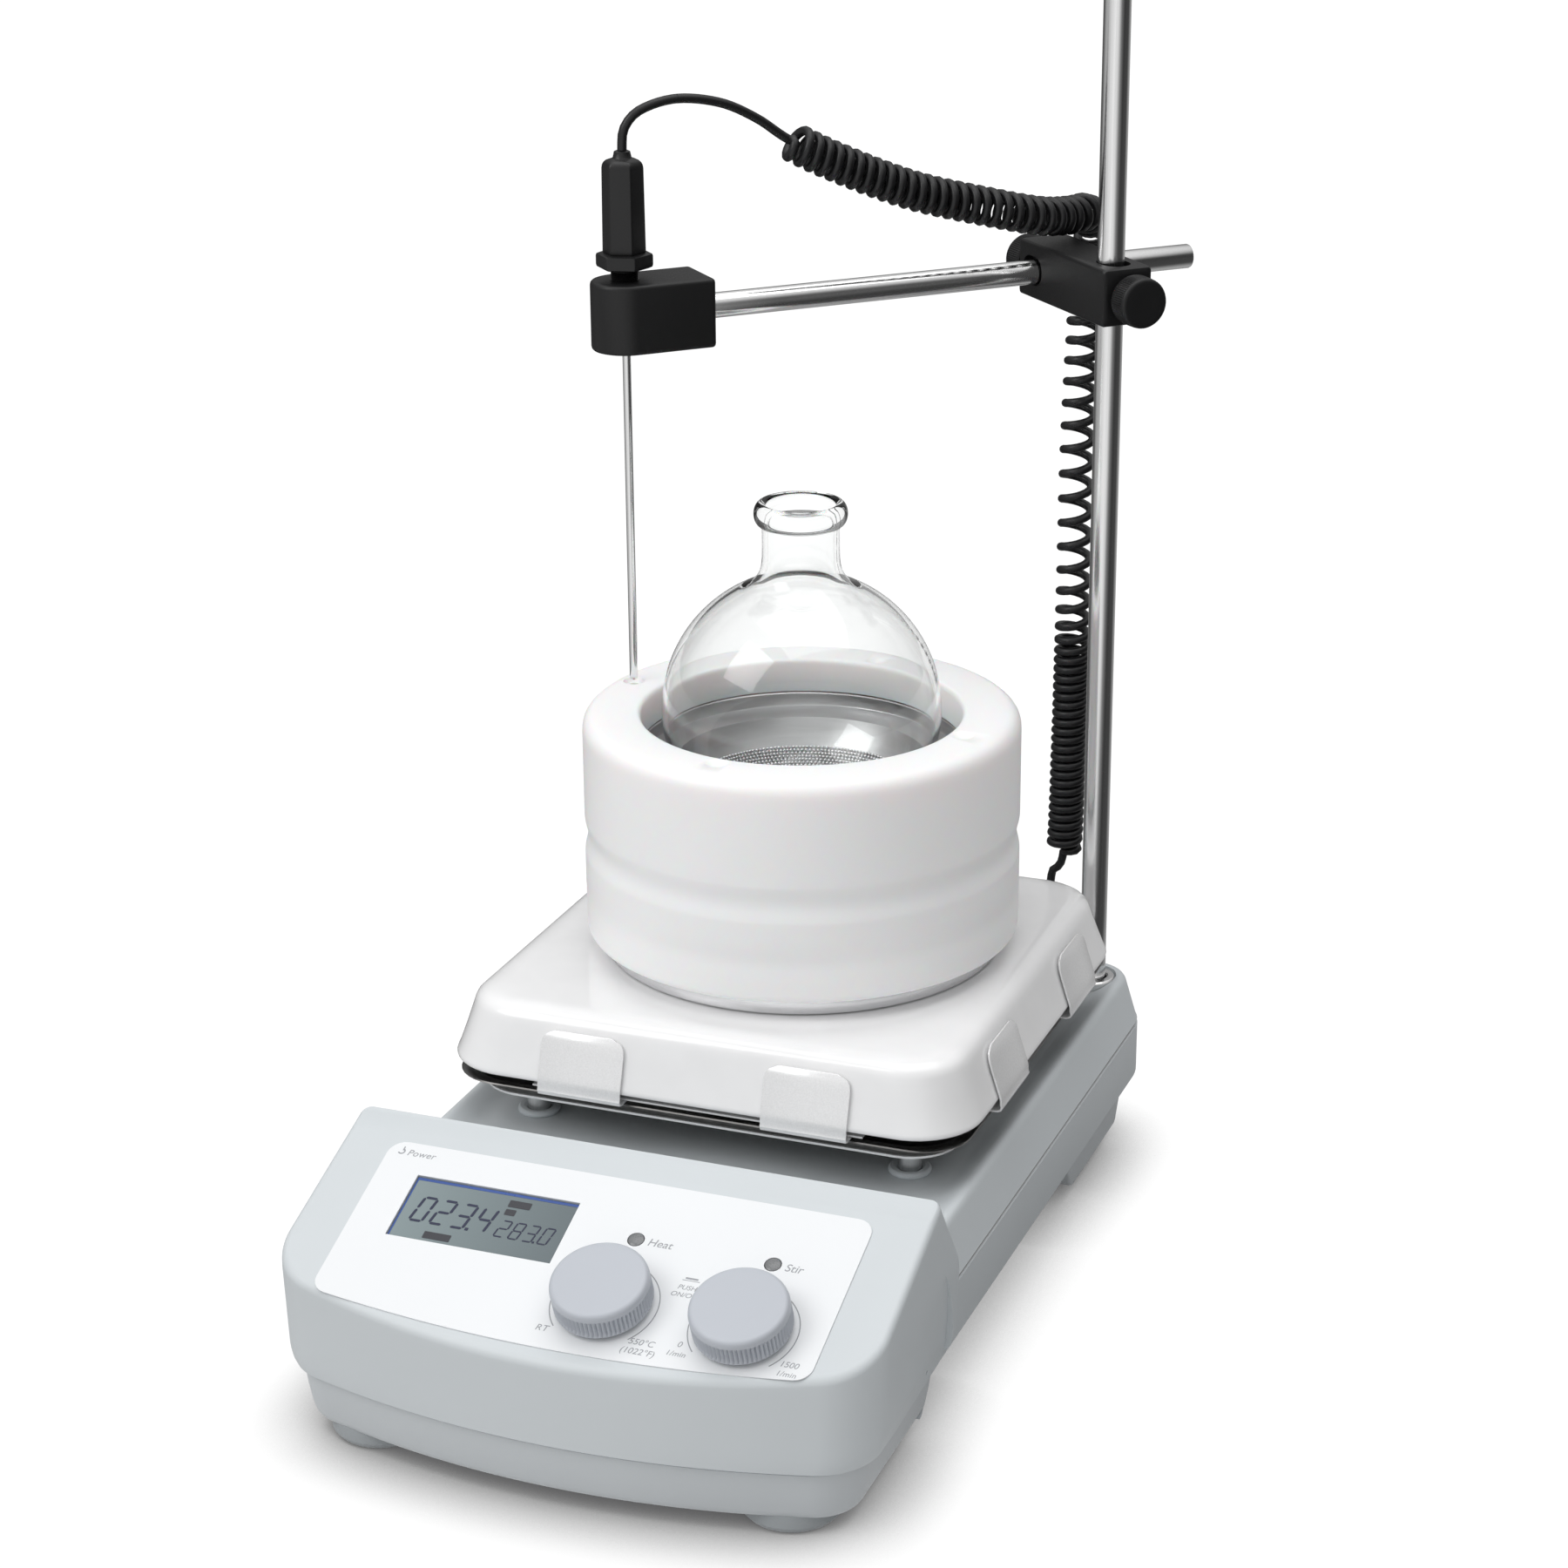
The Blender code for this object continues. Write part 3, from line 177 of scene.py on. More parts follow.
SHEET = metal("sheet_steel", (0.88, 0.88, 0.885), 0.22, (1, 1, 1), 1800, 0.01, 0.02, 0.3)
SHIELD = metal("tinted_sheet", (0.22, 0.215, 0.21), 0.36, (1, 0.15, 0.15), 300, 0.05, 0.05)
TURNED = metal("turned_aluminium", (0.80, 0.80, 0.81), 0.24, (1, 1, 30), 90, 0.03, 0.04)
BOWL = metal("bowl_aluminium", (0.50, 0.50, 0.505), 0.34, (1, 1, 12), 60, 0.03, 0.04)


def make_enamel():
    """Glass-hard white enamel with the faint orange peel of a fired coat."""
    m, tree, shader = material("white_enamel", (0.88, 0.88, 0.885), 0.14, 0.0, Coat_Weight=0.5,
                               Coat_Roughness=0.04)
    soft = noise(tree, 60, 2)
    ramp(tree, soft.outputs["Fac"], (0.865, 0.865, 0.87), (0.895, 0.895, 0.90),
         shader.inputs["Base Color"])
    peel = noise(tree, 240, 2)
    ramp(tree, peel.outputs["Fac"], 0.11, 0.19, shader.inputs["Roughness"])
    bump(tree, shader, peel.outputs["Fac"], 0.05, 0.0002)
    return m


def make_glass():
    """Clear borosilicate glass."""
    m, tree, shader = material("flask_glass", (0.985, 0.992, 0.99), 0.0, 0.0,
                               Transmission_Weight=1.0, IOR=1.45)
    light = tree.nodes.new("ShaderNodeLightPath")
    clear = tree.nodes.new("ShaderNodeMapRange")
    clear.inputs["To Min"].default_value = 1.0
    clear.inputs["To Max"].default_value = 0.04
    tree.links.new(light.outputs["Is Shadow Ray"], clear.inputs["Value"])
    tree.links.new(clear.outputs["Result"], shader.inputs["Alpha"])
    streaks = noise(tree, 30, 2, (1, 1, 0.3))
    bump(tree, shader, streaks.outputs["Fac"], 0.02, 0.0003)
    return m


def make_lcd():
    """A grey-green display glass, bluer at its upper edge, with painted shade that darkens it towards its
    right.
    """
    m, tree, shader = material("display_glass", (0.30, 0.36, 0.37), 0.16, Coat_Weight=0.6,
                               Coat_Roughness=0.05)
    where = tree.nodes.new("ShaderNodeTexCoord")
    split = tree.nodes.new("ShaderNodeSeparateXYZ")
    tree.links.new(where.outputs["Object"], split.inputs["Vector"])
    # painted shade: the glass's colour darkens from left to right across the window
    across = tree.nodes.new("ShaderNodeMapRange")
    across.inputs["From Min"].default_value = -0.072
    across.inputs["From Max"].default_value = -0.012
    tree.links.new(split.outputs["X"], across.inputs["Value"])
    ramp(tree, across.outputs["Result"], (0.20, 0.255, 0.265), (0.10, 0.13, 0.142),
         shader.inputs["Base Color"], 0.0, 1.0)
    return m


ENAMEL, GLASS, DISPLAY = make_enamel(), make_glass(), make_lcd()
DIGIT = plastic("digit_ink", (0.012, 0.016, 0.05), 0.3, 0.02, 2000, 0.1)
TAG = plastic("display_tag", (0.03, 0.032, 0.04), 0.35, 0.02, 2000, 0.1)
EDGE_BLUE = plastic("display_edge", (0.03, 0.08, 0.30), 0.3, 0.02, 900, 0.2)


# ---- meshes ---------------------------------------------------------------------------------
def piece(name, body, look, verts, faces, where=HOUSING, slot=None, replaces=(), smooth=32,
          looks=None, which=None):
    """A mesh from points in millimetres, in a frame, that rides on a body."""
    mesh = bpy.data.meshes.new(name)
    mesh.from_pydata([(where @ Vector(v)) * MM for v in verts], [], faces)
    return finish_piece(name, body, look, mesh, replaces, smooth, looks, which)


def finish_piece(name, body, look, mesh, replaces=(), smooth=32, looks=None,
                 which=None):
    """Clean the mesh, give it its materials and shading, and set it on its body."""
    shape = bmesh.new()
    shape.from_mesh(mesh)
    bmesh.ops.recalc_face_normals(shape, faces=shape.faces)
    shape.to_mesh(mesh)
    shape.free()
    for m in looks or [look]:
        mesh.materials.append(m)
    if which:
        for face in mesh.polygons:
            face.material_index = which(face)
    mesh.shade_smooth()
    mesh.set_sharp_from_angle(angle=radians(smooth))
    thing = bpy.data.objects.new(name, mesh)
    bpy.context.scene.collection.objects.link(thing)
    if body:
        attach(thing, body)
    if replaces:
        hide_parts(*([replaces] if isinstance(replaces, str) else replaces))
    return thing


def rings_mesh(rings, caps=(True, True), closed=False):
    """Points and faces of a skin through rings of equal count."""
    verts = [p for ring in rings for p in ring]
    count = len(rings[0])
    faces = []
    last = len(rings) if closed else len(rings) - 1
    for a in range(last):
        b = (a + 1) % len(rings)
        for k in range(count):
            n = (k + 1) % count
            faces.append((a * count + k, a * count + n, b * count + n, b * count + k))
    if not closed and caps[0]:
        faces.append(tuple(range(count)))
    if not closed and caps[1]:
        faces.append(tuple(range((len(rings) - 1) * count, len(rings) * count)))
    return verts, faces


def joined(*parts):
    """Several (points, faces) as one."""
    verts, faces = [], []
    for v, f in parts:
        start = len(verts)
        verts += list(v)
        faces += [tuple(i + start for i in face) for face in f]
    return verts, faces


def rounded(corners, steps=8):
    """An outline from (x, y, radius) corners, each rounded by an arc where its radius isn't 0."""
    points = []
    for n, (x, y, radius) in enumerate(corners):
        here = Vector((x, y))
        back = (Vector(corners[n - 1][:2]) - here).normalized()
        ahead = (Vector(corners[(n + 1) % len(corners)][:2]) - here).normalized()
        if radius == 0:
            points.append((x, y))
            continue
        half = acos(max(-1, min(1, back.dot(ahead)))) / 2
        middle = here + (back + ahead).normalized() * (radius / sin(half))
        first = here + back * (radius / tan(half)) - middle
        last = here + ahead * (radius / tan(half)) - middle
        sweep = first.angle_signed(last)
        for k in range(steps + 1):
            points.append(tuple(middle + Matrix.Rotation(-sweep * k / steps, 2) @ first))
    return points


def rectangle(half_x, half_y, radius=0.0, steps=8, middle=(0, 0)):
    """A rectangle's outline, anticlockwise, with round corners."""
    signs = ((-1, -1), (1, -1), (1, 1), (-1, 1))
    return rounded([(middle[0] + a * half_x, middle[1] + b * half_y, radius)
                    for a, b in signs], steps)


def level(outline, z):
    """A flat outline at a height."""
    return [(x, y, z) for x, y in outline]


def lathe(profile, steps=96, closed=False, wave=None):
    """Points and faces of a (radius, height) profile turned about Z; ends on the axis close."""
    verts, faces, rows = [], [], []
    for n, (r, z) in enumerate(profile):
        if r < 1e-6:
            rows.append([len(verts)])
            verts.append((0, 0, z))
            continue
        rows.append(list(range(len(verts), len(verts) + steps)))
        for k in range(steps):
            angle = 2 * pi * k / steps
            reach = r + (wave(n, k) if wave else 0)
            verts.append((reach * cos(angle), reach * sin(angle), z))
    pairs = list(zip(rows, rows[1:]))
    if closed:
        pairs.append((rows[-1], rows[0]))
    for a, b in pairs:
        for k in range(steps):
            n = (k + 1) % steps
            if len(a) == 1 and len(b) == 1:
                continue
            if len(a) == 1:
                faces.append((a[0], b[n], b[k]))
            elif len(b) == 1:
                faces.append((a[k], a[n], b[0]))
            else:
                faces.append((a[k], a[n], b[n], b[k]))
    return verts, faces


def fillet(profile, radius, steps=5, skip=()):
    """An open (radius, height) profile with its inner corners rounded."""
    points = [profile[0]]
    for n in range(1, len(profile) - 1):
        here = Vector(profile[n])
        back, ahead = Vector(profile[n - 1]) - here, Vector(profile[n + 1]) - here
        r = radius[n] if isinstance(radius, dict) and n in radius else (
            radius if not isinstance(radius, dict) else 0)
        if n in skip or r == 0:
            points.append(tuple(here))
            continue
        half = acos(max(-1, min(1, back.normalized().dot(ahead.normalized())))) / 2
        r = min(r, tan(half) * min(back.length, ahead.length) * 0.48)
        middle = here + (back.normalized() + ahead.normalized()).normalized() * (r / sin(half))
        first = here + back.normalized() * (r / tan(half)) - middle
        last = here + ahead.normalized() * (r / tan(half)) - middle
        sweep = first.angle_signed(last)
        points += [tuple(middle + Matrix.Rotation(-sweep * k / steps, 2) @ first)
                   for k in range(steps + 1)]
    return points + [profile[-1]]


def boxed(low, high):
    """Points and faces of a box between two corners."""
    (a, b, c), (d, e, f) = low, high
    verts = [(a, b, c), (d, b, c), (d, e, c), (a, e, c), (a, b, f), (d, b, f), (d, e, f), (a, e, f)]
    faces = [(0, 3, 2, 1), (4, 5, 6, 7), (0, 1, 5, 4), (1, 2, 6, 5), (2, 3, 7, 6), (3, 0, 4, 7)]
    return verts, faces


def cutter(verts, faces, where=HOUSING):
    """A hidden solid that a boolean reads."""
    mesh = bpy.data.meshes.new("cutter")
    mesh.from_pydata([(where @ Vector(v)) * MM for v in verts], [], faces)
    shape = bmesh.new()
    shape.from_mesh(mesh)
    bmesh.ops.recalc_face_normals(shape, faces=shape.faces)
    shape.to_mesh(mesh)
    shape.free()
    thing = bpy.data.objects.new("cutter", mesh)
    bpy.context.scene.collection.objects.link(thing)
    return thing


def apply_modifiers(thing):
    """Keep the shape that the modifiers make, and drop them."""
    graph = bpy.context.evaluated_depsgraph_get()
    mesh = bpy.data.meshes.new_from_object(thing.evaluated_get(graph))
    thing.modifiers.clear()
    thing.data = mesh


def cut(thing, *cutters, operation="DIFFERENCE", smooth=32):
    """Cut the thing with solids, and apply it at once."""
    for solid in cutters:
        boolean = thing.modifiers.new("cut", "BOOLEAN")
        boolean.operation = operation
        boolean.object = solid
        boolean.solver = "EXACT"
    apply_modifiers(thing)
    for solid in cutters:
        bpy.data.objects.remove(solid, do_unlink=True)
    thing.data.set_sharp_from_angle(angle=radians(smooth))


def soften(thing, width, segments=3, angle=35):
    """Round the sharp edges and keep the result."""
    bevel = thing.modifiers.new("soften", "BEVEL")
    bevel.width = width * MM
    bevel.segments = segments
    bevel.limit_method = "ANGLE"
    bevel.angle_limit = radians(angle)
    bevel.harden_normals = False
    apply_modifiers(thing)
    thing.data.shade_smooth()
    thing.data.set_sharp_from_angle(angle=radians(40))


def disc(radius, low, high, steps=24, spot=(0, 0)):
    """Points and faces of a plain round bar."""
    verts, faces = lathe([(0, low), (radius, low), (radius, high), (0, high)], steps)
    return [(x + spot[0], y + spot[1], z) for x, y, z in verts], faces


# ---- housing --------------------------------------------------------------------------------
SEAM_Z = 25.0
FRONT_Y, REAR_Y = -181.0, 172.0
CONSOLE_HALF = 107.0
BACK_Y = -93.0


def panel_height(y):
    """How high the panel's plastic face is at a place along Y."""
    return PANEL_Z - 0.43 + (y - PANEL_Y) * tan(PANEL_TILT)


def smoothstep(t):
    t = max(0.0, min(1.0, t))
    return t * t * (3 - 2 * t)


def polyline(points, t):
    """A value on a line of (t, value) points."""
    for (a, u), (b, v) in zip(points, points[1:]):
        if t <= b:
            return u + (v - u) * max(0.0, (t - a)) / (b - a)
    return points[-1][1]


def offset(outline, distance):
    """The closed outline moved in along its normals."""
    count, moved = len(outline), []
    for n, point in enumerate(outline):
        along = (Vector(outline[(n + 1) % count]) - Vector(outline[n - 1])).normalized()
        moved.append(tuple(Vector(point) + Vector((-along.y, along.x)) * distance))
    return moved


def dense(outline, longest):
    """The outline with points added so that no side is longer than a length."""
    points = []
    for n, a in enumerate(outline):
        a, b = Vector(a), Vector(outline[(n + 1) % len(outline)])
        count = max(1, int((b - a).length / longest + 0.999))
        points += [tuple(a.lerp(b, k / count)) for k in range(count)]
    return points


def front_bow(front_y, side_y, half, radius, corner, steps=22):
    """The front of the housing's plan: a bow between two round corners, left to right."""
    return [(-half, side_y, corner), (0, front_y - 12, radius), (half, side_y, corner)], steps


def console_mesh():
    """The sloping console as rings that rise from the seam to the rounded panel edge."""
    corners, steps = front_bow(FRONT_Y, -165, CONSOLE_HALF, 330, 22)
    plan = rounded(corners + [(CONSOLE_HALF, BACK_Y, 4), (-CONSOLE_HALF, BACK_Y, 4)], steps)
    plan = dense(plan, 6)
    widths = [(25, 102.8), (26, 104.0), (28, 105.1), (31, 105.8), (60, 107), (96, 105.5)]
    back = [(25, -84.0), (34, -77.6), (40, -76.0), (58, -76.0), (64, -77.2), (90, BACK_Y)]

    def ring(t, drop=0.0, move=0.0):
        points = []
        shape = offset(plan, move) if move else plan
        for x, y in shape:
            top = panel_height(y) - drop
            z = SEAM_Z + t * (top - SEAM_Z)
            pull = smoothstep((y + 150) / (BACK_Y + 150))
            y_here = y + (polyline(back, SEAM_Z + t * (panel_height(BACK_Y) - SEAM_Z)) - BACK_Y) * pull
            points.append((x * polyline(widths, z) / CONSOLE_HALF, y_here, z))
        return points

    radius = 2.4
    rings = [ring(0, 0, 1.2), ring(0.02)]
    rings += [ring(0.02 + 0.98 * k / 17, radius) for k in range(1, 18)]
    for k in range(1, 9):
        a = pi / 2 * k / 8
        rings.append(ring(1.0, radius * (1 - sin(a)), radius * (1 - cos(a))))
    rings.append(ring(1.0, 0, radius + 2.0))
    return rings_mesh(rings)


def deck_mesh():
    """The low rear: steep flange, ridge, and the sunk deck between the ridges."""
    profile = [  # inset from the outline, and height
        (1.5, 25.0), (0.3, 25.6), (0, 27.0), (0, 46.6), (0.7, 46.9), (0.7, 48.1), (0.1, 48.4),
        (0.5, 49.4), (4.3, 64.2), (4.7, 65.4), (5.4, 66.5), (6.5, 67.0), (7.7, 66.9),
        (9.0, 66.3), (12.4, 64.4), (14.2, 63.5), (16.4, 62.7), (18.8, 62.5), (21, 62.5),
    ]
    rings = []
    for inset, z in profile:
        corner = max(6.0, 20 - inset)
        half, rear = 103 - inset, REAR_Y - inset * 1.35
        outline = rounded([(-half, -115, 0), (half, -115, 0), (half, rear, corner),
                           (-half, rear, corner)], 10)
        rings.append(level(outline, z))
    return rings_mesh(rings)


# The finger grip in each side of the console, as (y, z): a facet that sinks towards the rear.
GRIP_OUTLINE = [(-94.1, 62.4), (-90.0, 56.5), (-86.8, 50.5), (-84.6, 44.0), (-83.2, 37.0),
                (-82.7, 29.9), (-82.7, 18.0), (-184.2, 18.0)]


def grip_plane(y, z):
    """How far out the grip's facet stands at a place on the console's side."""
    a, b, c = Vector((106.9, -94.1, 62.4)), Vector((104.9, -169, 25.5)), Vector((102.9, -83, 28))
    normal = (b - a).cross(c - a)
    return a.x - (normal.y * (y - a.y) + normal.z * (z - a.z)) / normal.x


def stripe_faces(face):
    """1 for the faces in the narrow groove along the deck's flange."""
    z = face.center.z / MM
    return 1 if 46.7 < z < 48.3 and abs(face.normal.z) < 0.9 and face.center.y > -0.082 else 0


def make_upper():
    console = piece("console", "base", SHELL, *console_mesh(), smooth=38)
    recess = rectangle(LCD_HALF[0], LCD_HALF[1], 0.4, 3, LCD_MIDDLE)
    cutters = [cutter(*rings_mesh([level(recess, -12.0), level(recess, 6)]), PANEL)]
    for spot in KNOBS.values():
        cutters.append(cutter(*disc(4.2, -14, 6, 32, spot), PANEL))
    for spot in LAMPS.values():
        cutters.append(cutter(*disc(3.0, -14, 6, 32, spot), PANEL))
    for side in (-1, 1):
        grip = [(y, z) for y, z in GRIP_OUTLINE]
        inner = [(side * grip_plane(y, z), y, z) for y, z in grip]
        outer = [(side * 113, y, z) for y, z in grip]
        cutters.append(cutter(*rings_mesh([inner, outer])))
        hole = disc(0.9, 97, 113, 20)
        cutters.append(cutter([(side * z, y - 102.9, x + 30.1) for x, y, z in hole[0]], hole[1]))
    rise = tan(PANEL_TILT) - 0.05
    low, high = panel_height(-104), panel_height(-104) + rise * 24
    band = [(-104, low), (-80, high), (-80, high + 20), (-104, low + 20)]
    cutters.append(cutter(*rings_mesh([[(x, y, z) for y, z in band] for x in (-120, 120)])))
    cut(console, *cutters, smooth=38)
    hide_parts("upper_housing")

    deck = piece("deck", "base", SHELL, *deck_mesh(), slot="shell_grey", smooth=45,
                 looks=[SHELL, STRIPE], which=stripe_faces)
    holes = [((-62, 38), (14, 9.7)), ((-25, 38), (11, 7)), ((62, 38), (7.6, 7.6))]
    cutters = [cutter(*boxed((x - a, REAR_Y - 21, z - b), (x + a, REAR_Y + 9, z + b)))
               for (x, z), (a, b) in holes]
    cutters.append(cutter(*disc(7, 48, 75, 32), PLATE))
    cutters.append(cutter(*disc(9.2, 33, 80, 48), ROD))
    cut(deck, *cutters, smooth=45)
    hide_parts("upper_housing")


def make_lower():
    corners, steps = front_bow(FRONT_Y, -164, 101, 305, 20)
    plan = rounded([corners[0], (0, FRONT_Y - 10.5, 305), corners[2]]
                   + [(101, -86.5, 3), (-101, -86.5, 3)], steps)
    plan = dense(plan, 8)
    rings = []
    for move, z in ((6.8, 6.0), (5.2, 6.2), (4.0, 6.9), (3.2, 8.0), (2.6, 9.6), (1.2, 17),
                    (0.3, 24.2), (0.8, 24.7)):
        rings.append(level(offset(plan, move), z))
    tray = piece("lower_tray", "base", LOWER, *rings_mesh(rings), slot="base_grey", smooth=50)
    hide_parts("lower_housing")
    side = rounded([(-110, 21.5, 0), (80, 21.5, 5), (88, 6, 4), (148, 6, 4), (157, 20.5, 5),
                    (166, 20.9, 0), (166, 24.2, 0), (-110, 24.2, 0)], 5)
    rear = [[(x, y, z) for y, z in side] for x in (-97, 97)]
    block = piece("rear_tray", "base", LOWER, *rings_mesh(rear), slot="base_grey")
    soften(block, 1.6)
    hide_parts("lower_housing")


def make_feet():
    for name, x, y, top, radius in (("front_left", -74, -150, 8, 17), ("front_right", 74, -150, 8, 17),
                                    ("rear_left", -78, 118, 6, 14), ("rear_right", 78, 118, 6, 14)):
        profile = fillet([(0, top - 0.3), (radius, top - 0.3), (radius, 2.2), (radius - 1.8, 0.05),
                          (radius - 5, 0.0), (radius - 5.4, 0.7), (0, 0.7)], 0.8, 4)
        piece("foot_" + name + "_pad", "base", FOOT, *lathe(profile, 64),
              where=HOUSING @ Matrix.Translation((x, y, 0)), slot="rubber",
              replaces="foot_" + name)


# ---- control panel --------------------------------------------------------------------------
SEGMENTS = {"0": "abcdef", "1": "bc", "2": "abged", "3": "abgcd", "4": "fgbc", "5": "afgcd",
            "6": "afgedc", "7": "abc", "8": "abcdefg", "9": "abcdfg"}


def digit(number, x, y, wide, tall, thick, lean=0.18, z=0.0):
    """A seven-segment digit as flat slabs, leaning a little."""
    gap = thick * 0.18
    half = tall / 2
    runs = {"a": ((0, tall), (wide, tall)), "b": ((wide, tall), (wide, half)),
            "c": ((wide, half), (wide, 0)), "d": ((0, 0), (wide, 0)), "e": ((0, 0), (0, half)),
            "f": ((0, half), (0, tall)), "g": ((0, half), (wide, half))}
    parts = []
    for letter in SEGMENTS[number]:
        a, b = (Vector(p) for p in runs[letter])
        along = (b - a).normalized()
        side = Vector((-along.y, along.x)) * thick / 2
        a, b = a + along * gap, b - along * gap
        tip = along * thick / 2
        ring = [a, a + tip + side, b - tip + side, b, b - tip - side, a + tip - side]
        flat = [(x + p.x + lean * p.y, y + p.y) for p in ring]
        parts.append(rings_mesh([level(flat, z), level(flat, z + 0.05)]))
    return joined(*parts)


def slab(outline, low, high):
    return rings_mesh([level(outline, low), level(outline, high)])


def make_display():
    u, v = LCD_MIDDLE
    half_u, half_v = LCD_HALF
    window = slab(rectangle(half_u - 0.3, half_v - 0.3, 0.3, 3, LCD_MIDDLE), -2.0, -0.75)
    piece("display_window", "base", DISPLAY, *window, where=PANEL, slot="lcd_glass",
          replaces="lcd_window")
    top = -0.72
    digits = []
    for number, at in zip("0234", (-67.6, -60.2, -52.6, -45.0)):
        digits.append(digit(number, at, 1.8, 4.6, 10.4, 1.0, 0.17, top))
    digits.append(slab(rectangle(0.6, 0.6, 0, 1, (-46.4, 1.9)), top, top + 0.05))
    for number, at in zip("2830", (-36.4, -31.2, -26.0, -20.6)):
        digits.append(digit(number, at, 1.2, 3.2, 7.0, 0.55, 0.17, top))
    digits.append(slab(rectangle(0.4, 0.4, 0, 1, (-21.9, 1.3)), top, top + 0.05))
    piece("display_digits", "base", DIGIT, *joined(*digits), where=PANEL, slot="lcd_glass")
    tags = [slab(rectangle(4.0, 1.5, 0.3, 3, (-32.6, 15.8)), top, top + 0.05),
            slab(rectangle(1.9, 1.3, 0.3, 3, (-34.6, 12.0)), top, top + 0.05),
            slab(rectangle(4.9, 1.5, 0.3, 3, (-55.0, -3.4)), top, top + 0.05)]
    piece("display_tags", "base", TAG, *joined(*tags), where=PANEL, slot="lcd_glass")
    edges = [slab(rectangle(half_u - 0.35, 0.55, 0.1, 2, (u, v + half_v - 0.95)), top - 0.01, top + 0.04),
             slab(rectangle(0.28, half_v - 0.5, 0.1, 2, (u - half_u + 0.6, v)), top - 0.01, top + 0.03)]
    piece("display_edge", "base", EDGE_BLUE, *joined(*edges), where=PANEL, slot="lcd_glass")


def lettering(words, thick=0.03):
    """Small printed words as flat solids: (text, x, y, size, lean)."""
    parts = []
    for text, x, y, size, wide in words:
        curve = bpy.data.curves.new("words", "FONT")
        curve.body = text
        curve.size = size
        curve.shear = 0.18
        curve.space_character = wide
        curve.extrude = thick
        flat = bpy.data.objects.new("words", curve)
        bpy.context.scene.collection.objects.link(flat)
        graph = bpy.context.evaluated_depsgraph_get()
        mesh = bpy.data.meshes.new_from_object(flat.evaluated_get(graph))
        parts.append(([(x + p.co.x, y + p.co.y, 0.02 + p.co.z) for p in mesh.vertices],
                      [tuple(f.vertices) for f in mesh.polygons]))
        bpy.data.objects.remove(flat, do_unlink=True)
    return joined(*parts)


def arc_band(middle, radius, first, last, width, low=-0.01, high=0.05, steps=60):
    """A thin printed arc, from one angle to another, in degrees."""
    rings = []
    for k in range(steps + 1):
        a = radians(first + (last - first) * k / steps)
        rings.append([(middle[0] + r * cos(a), middle[1] + r * sin(a), z)
                      for r, z in ((radius - width / 2, low), (radius + width / 2, low),
                                   (radius + width / 2, high), (radius - width / 2, high))])
    return rings_mesh(rings)


def make_print():
    words = [
        ("Power", -80.3, 28.2, 3.8, 1.05), ("Heat", 16.3, 7.9, 4.4, 1.0),
        ("Stir", 64.5, 7.4, 4.4, 1.0), ("RT", -6.6, -33.8, 3.5, 1.1),
        ("550°C", 25.4, -32.4, 3.4, 1.0), ("(1022°F)", 23.8, -36.2, 3.4, 1.0),
        ("PUSH", 32.9, -7.3, 2.7, 1.0), ("ON/OFF", 31.5, -10.4, 2.7, 1.0),
        ("0", 41.4, -30.2, 3.2, 1.0), ("1/min", 38.8, -34.0, 2.9, 1.05),
        ("1500", 76.2, -30.3, 3.2, 1.0), ("1/min", 76.2, -34.0, 2.9, 1.05),
    ]
    parts = [lettering(words)]
    for spot in KNOBS.values():
        parts.append(arc_band(spot, 18.1, -44, 224, 0.38))
    parts.append(slab(rectangle(2.2, 0.35, 0.1, 2, (36.4, -2.5)), -0.01, 0.05))
    parts.append(slab(rectangle(3.0, 0.12, 0.05, 2, (36.4, -3.4)), -0.01, 0.05))
    parts.append(arc_band((-82.6, 29.6), 1.1, -150, 60, 0.5, steps=16))
    parts.append(slab(rectangle(0.22, 0.9, 0.1, 2, (-82.2, 30.9)), -0.01, 0.05))
    piece("panel_print", "base", PRINT, *joined(*parts), where=PANEL, slot="label_white")


def make_knob(kind):
    """A knob with a soft-edged cap over a band of fine grooves."""
    low, top, radius, ribs = 1.5, 11.9, 16.5, 68
    steps = ribs * 4
    groove_top = top - 2.7

    profile = [(12.5, low + 3.4), (12.5, low), (radius - 0.7, low), (radius - 0.15, low + 0.5)]
    flutes = len(profile)
    rows = [(radius, low + 0.9), (radius, low + 1.8), (radius, low + 3.2), (radius, low + 5.0),
            (radius, groove_top - 0.9), (radius, groove_top - 0.3), (radius, groove_top)]
    deep = {0: 0.0, 1: 0.85, 2: 0.95, 3: 0.95, 4: 0.95, 5: 0.6, 6: 0.0}
    profile += rows
    profile += [(radius, groove_top + 0.5)]
    edge = 1.8
    for k in range(1, 8):
        a = pi / 2 * k / 7
        profile.append((radius - 0.1 - edge * (1 - cos(a)), top - edge + edge * sin(a)))
    profile += [(radius - 4, top), (radius - 8, top - 0.05), (0, top - 0.1)]
    profile.insert(0, (0, low + 3.4))

    def wave(row, k):
        n = row - flutes - 1
        if n in deep:
            return -deep[n] * (1.0, 0.35, 0.0, 0.35)[k % 4]
        return 0

    u, v = KNOBS[kind]
    where = PANEL @ Matrix.Translation((u, v, 0))
    piece(kind + "_dial_knob", kind + "_dial", KNOB, *lathe(profile, steps, wave=wave),
          where=where, slot="knob_grey", replaces=kind + "_knob", smooth=50)


def make_lamps():
    for kind, (u, v) in LAMPS.items():
        profile = [(0, 0.42), (1.2, 0.38), (2.1, 0.22), (2.65, -0.05), (2.7, -0.6), (2.7, -12), (0, -12)]
        piece(kind + "_lamp_lens", "base", LAMP, *lathe(profile, 48),
              where=PANEL @ Matrix.Translation((u, v, 0)), slot="lamp_grey",
              replaces=kind + "_lamp")


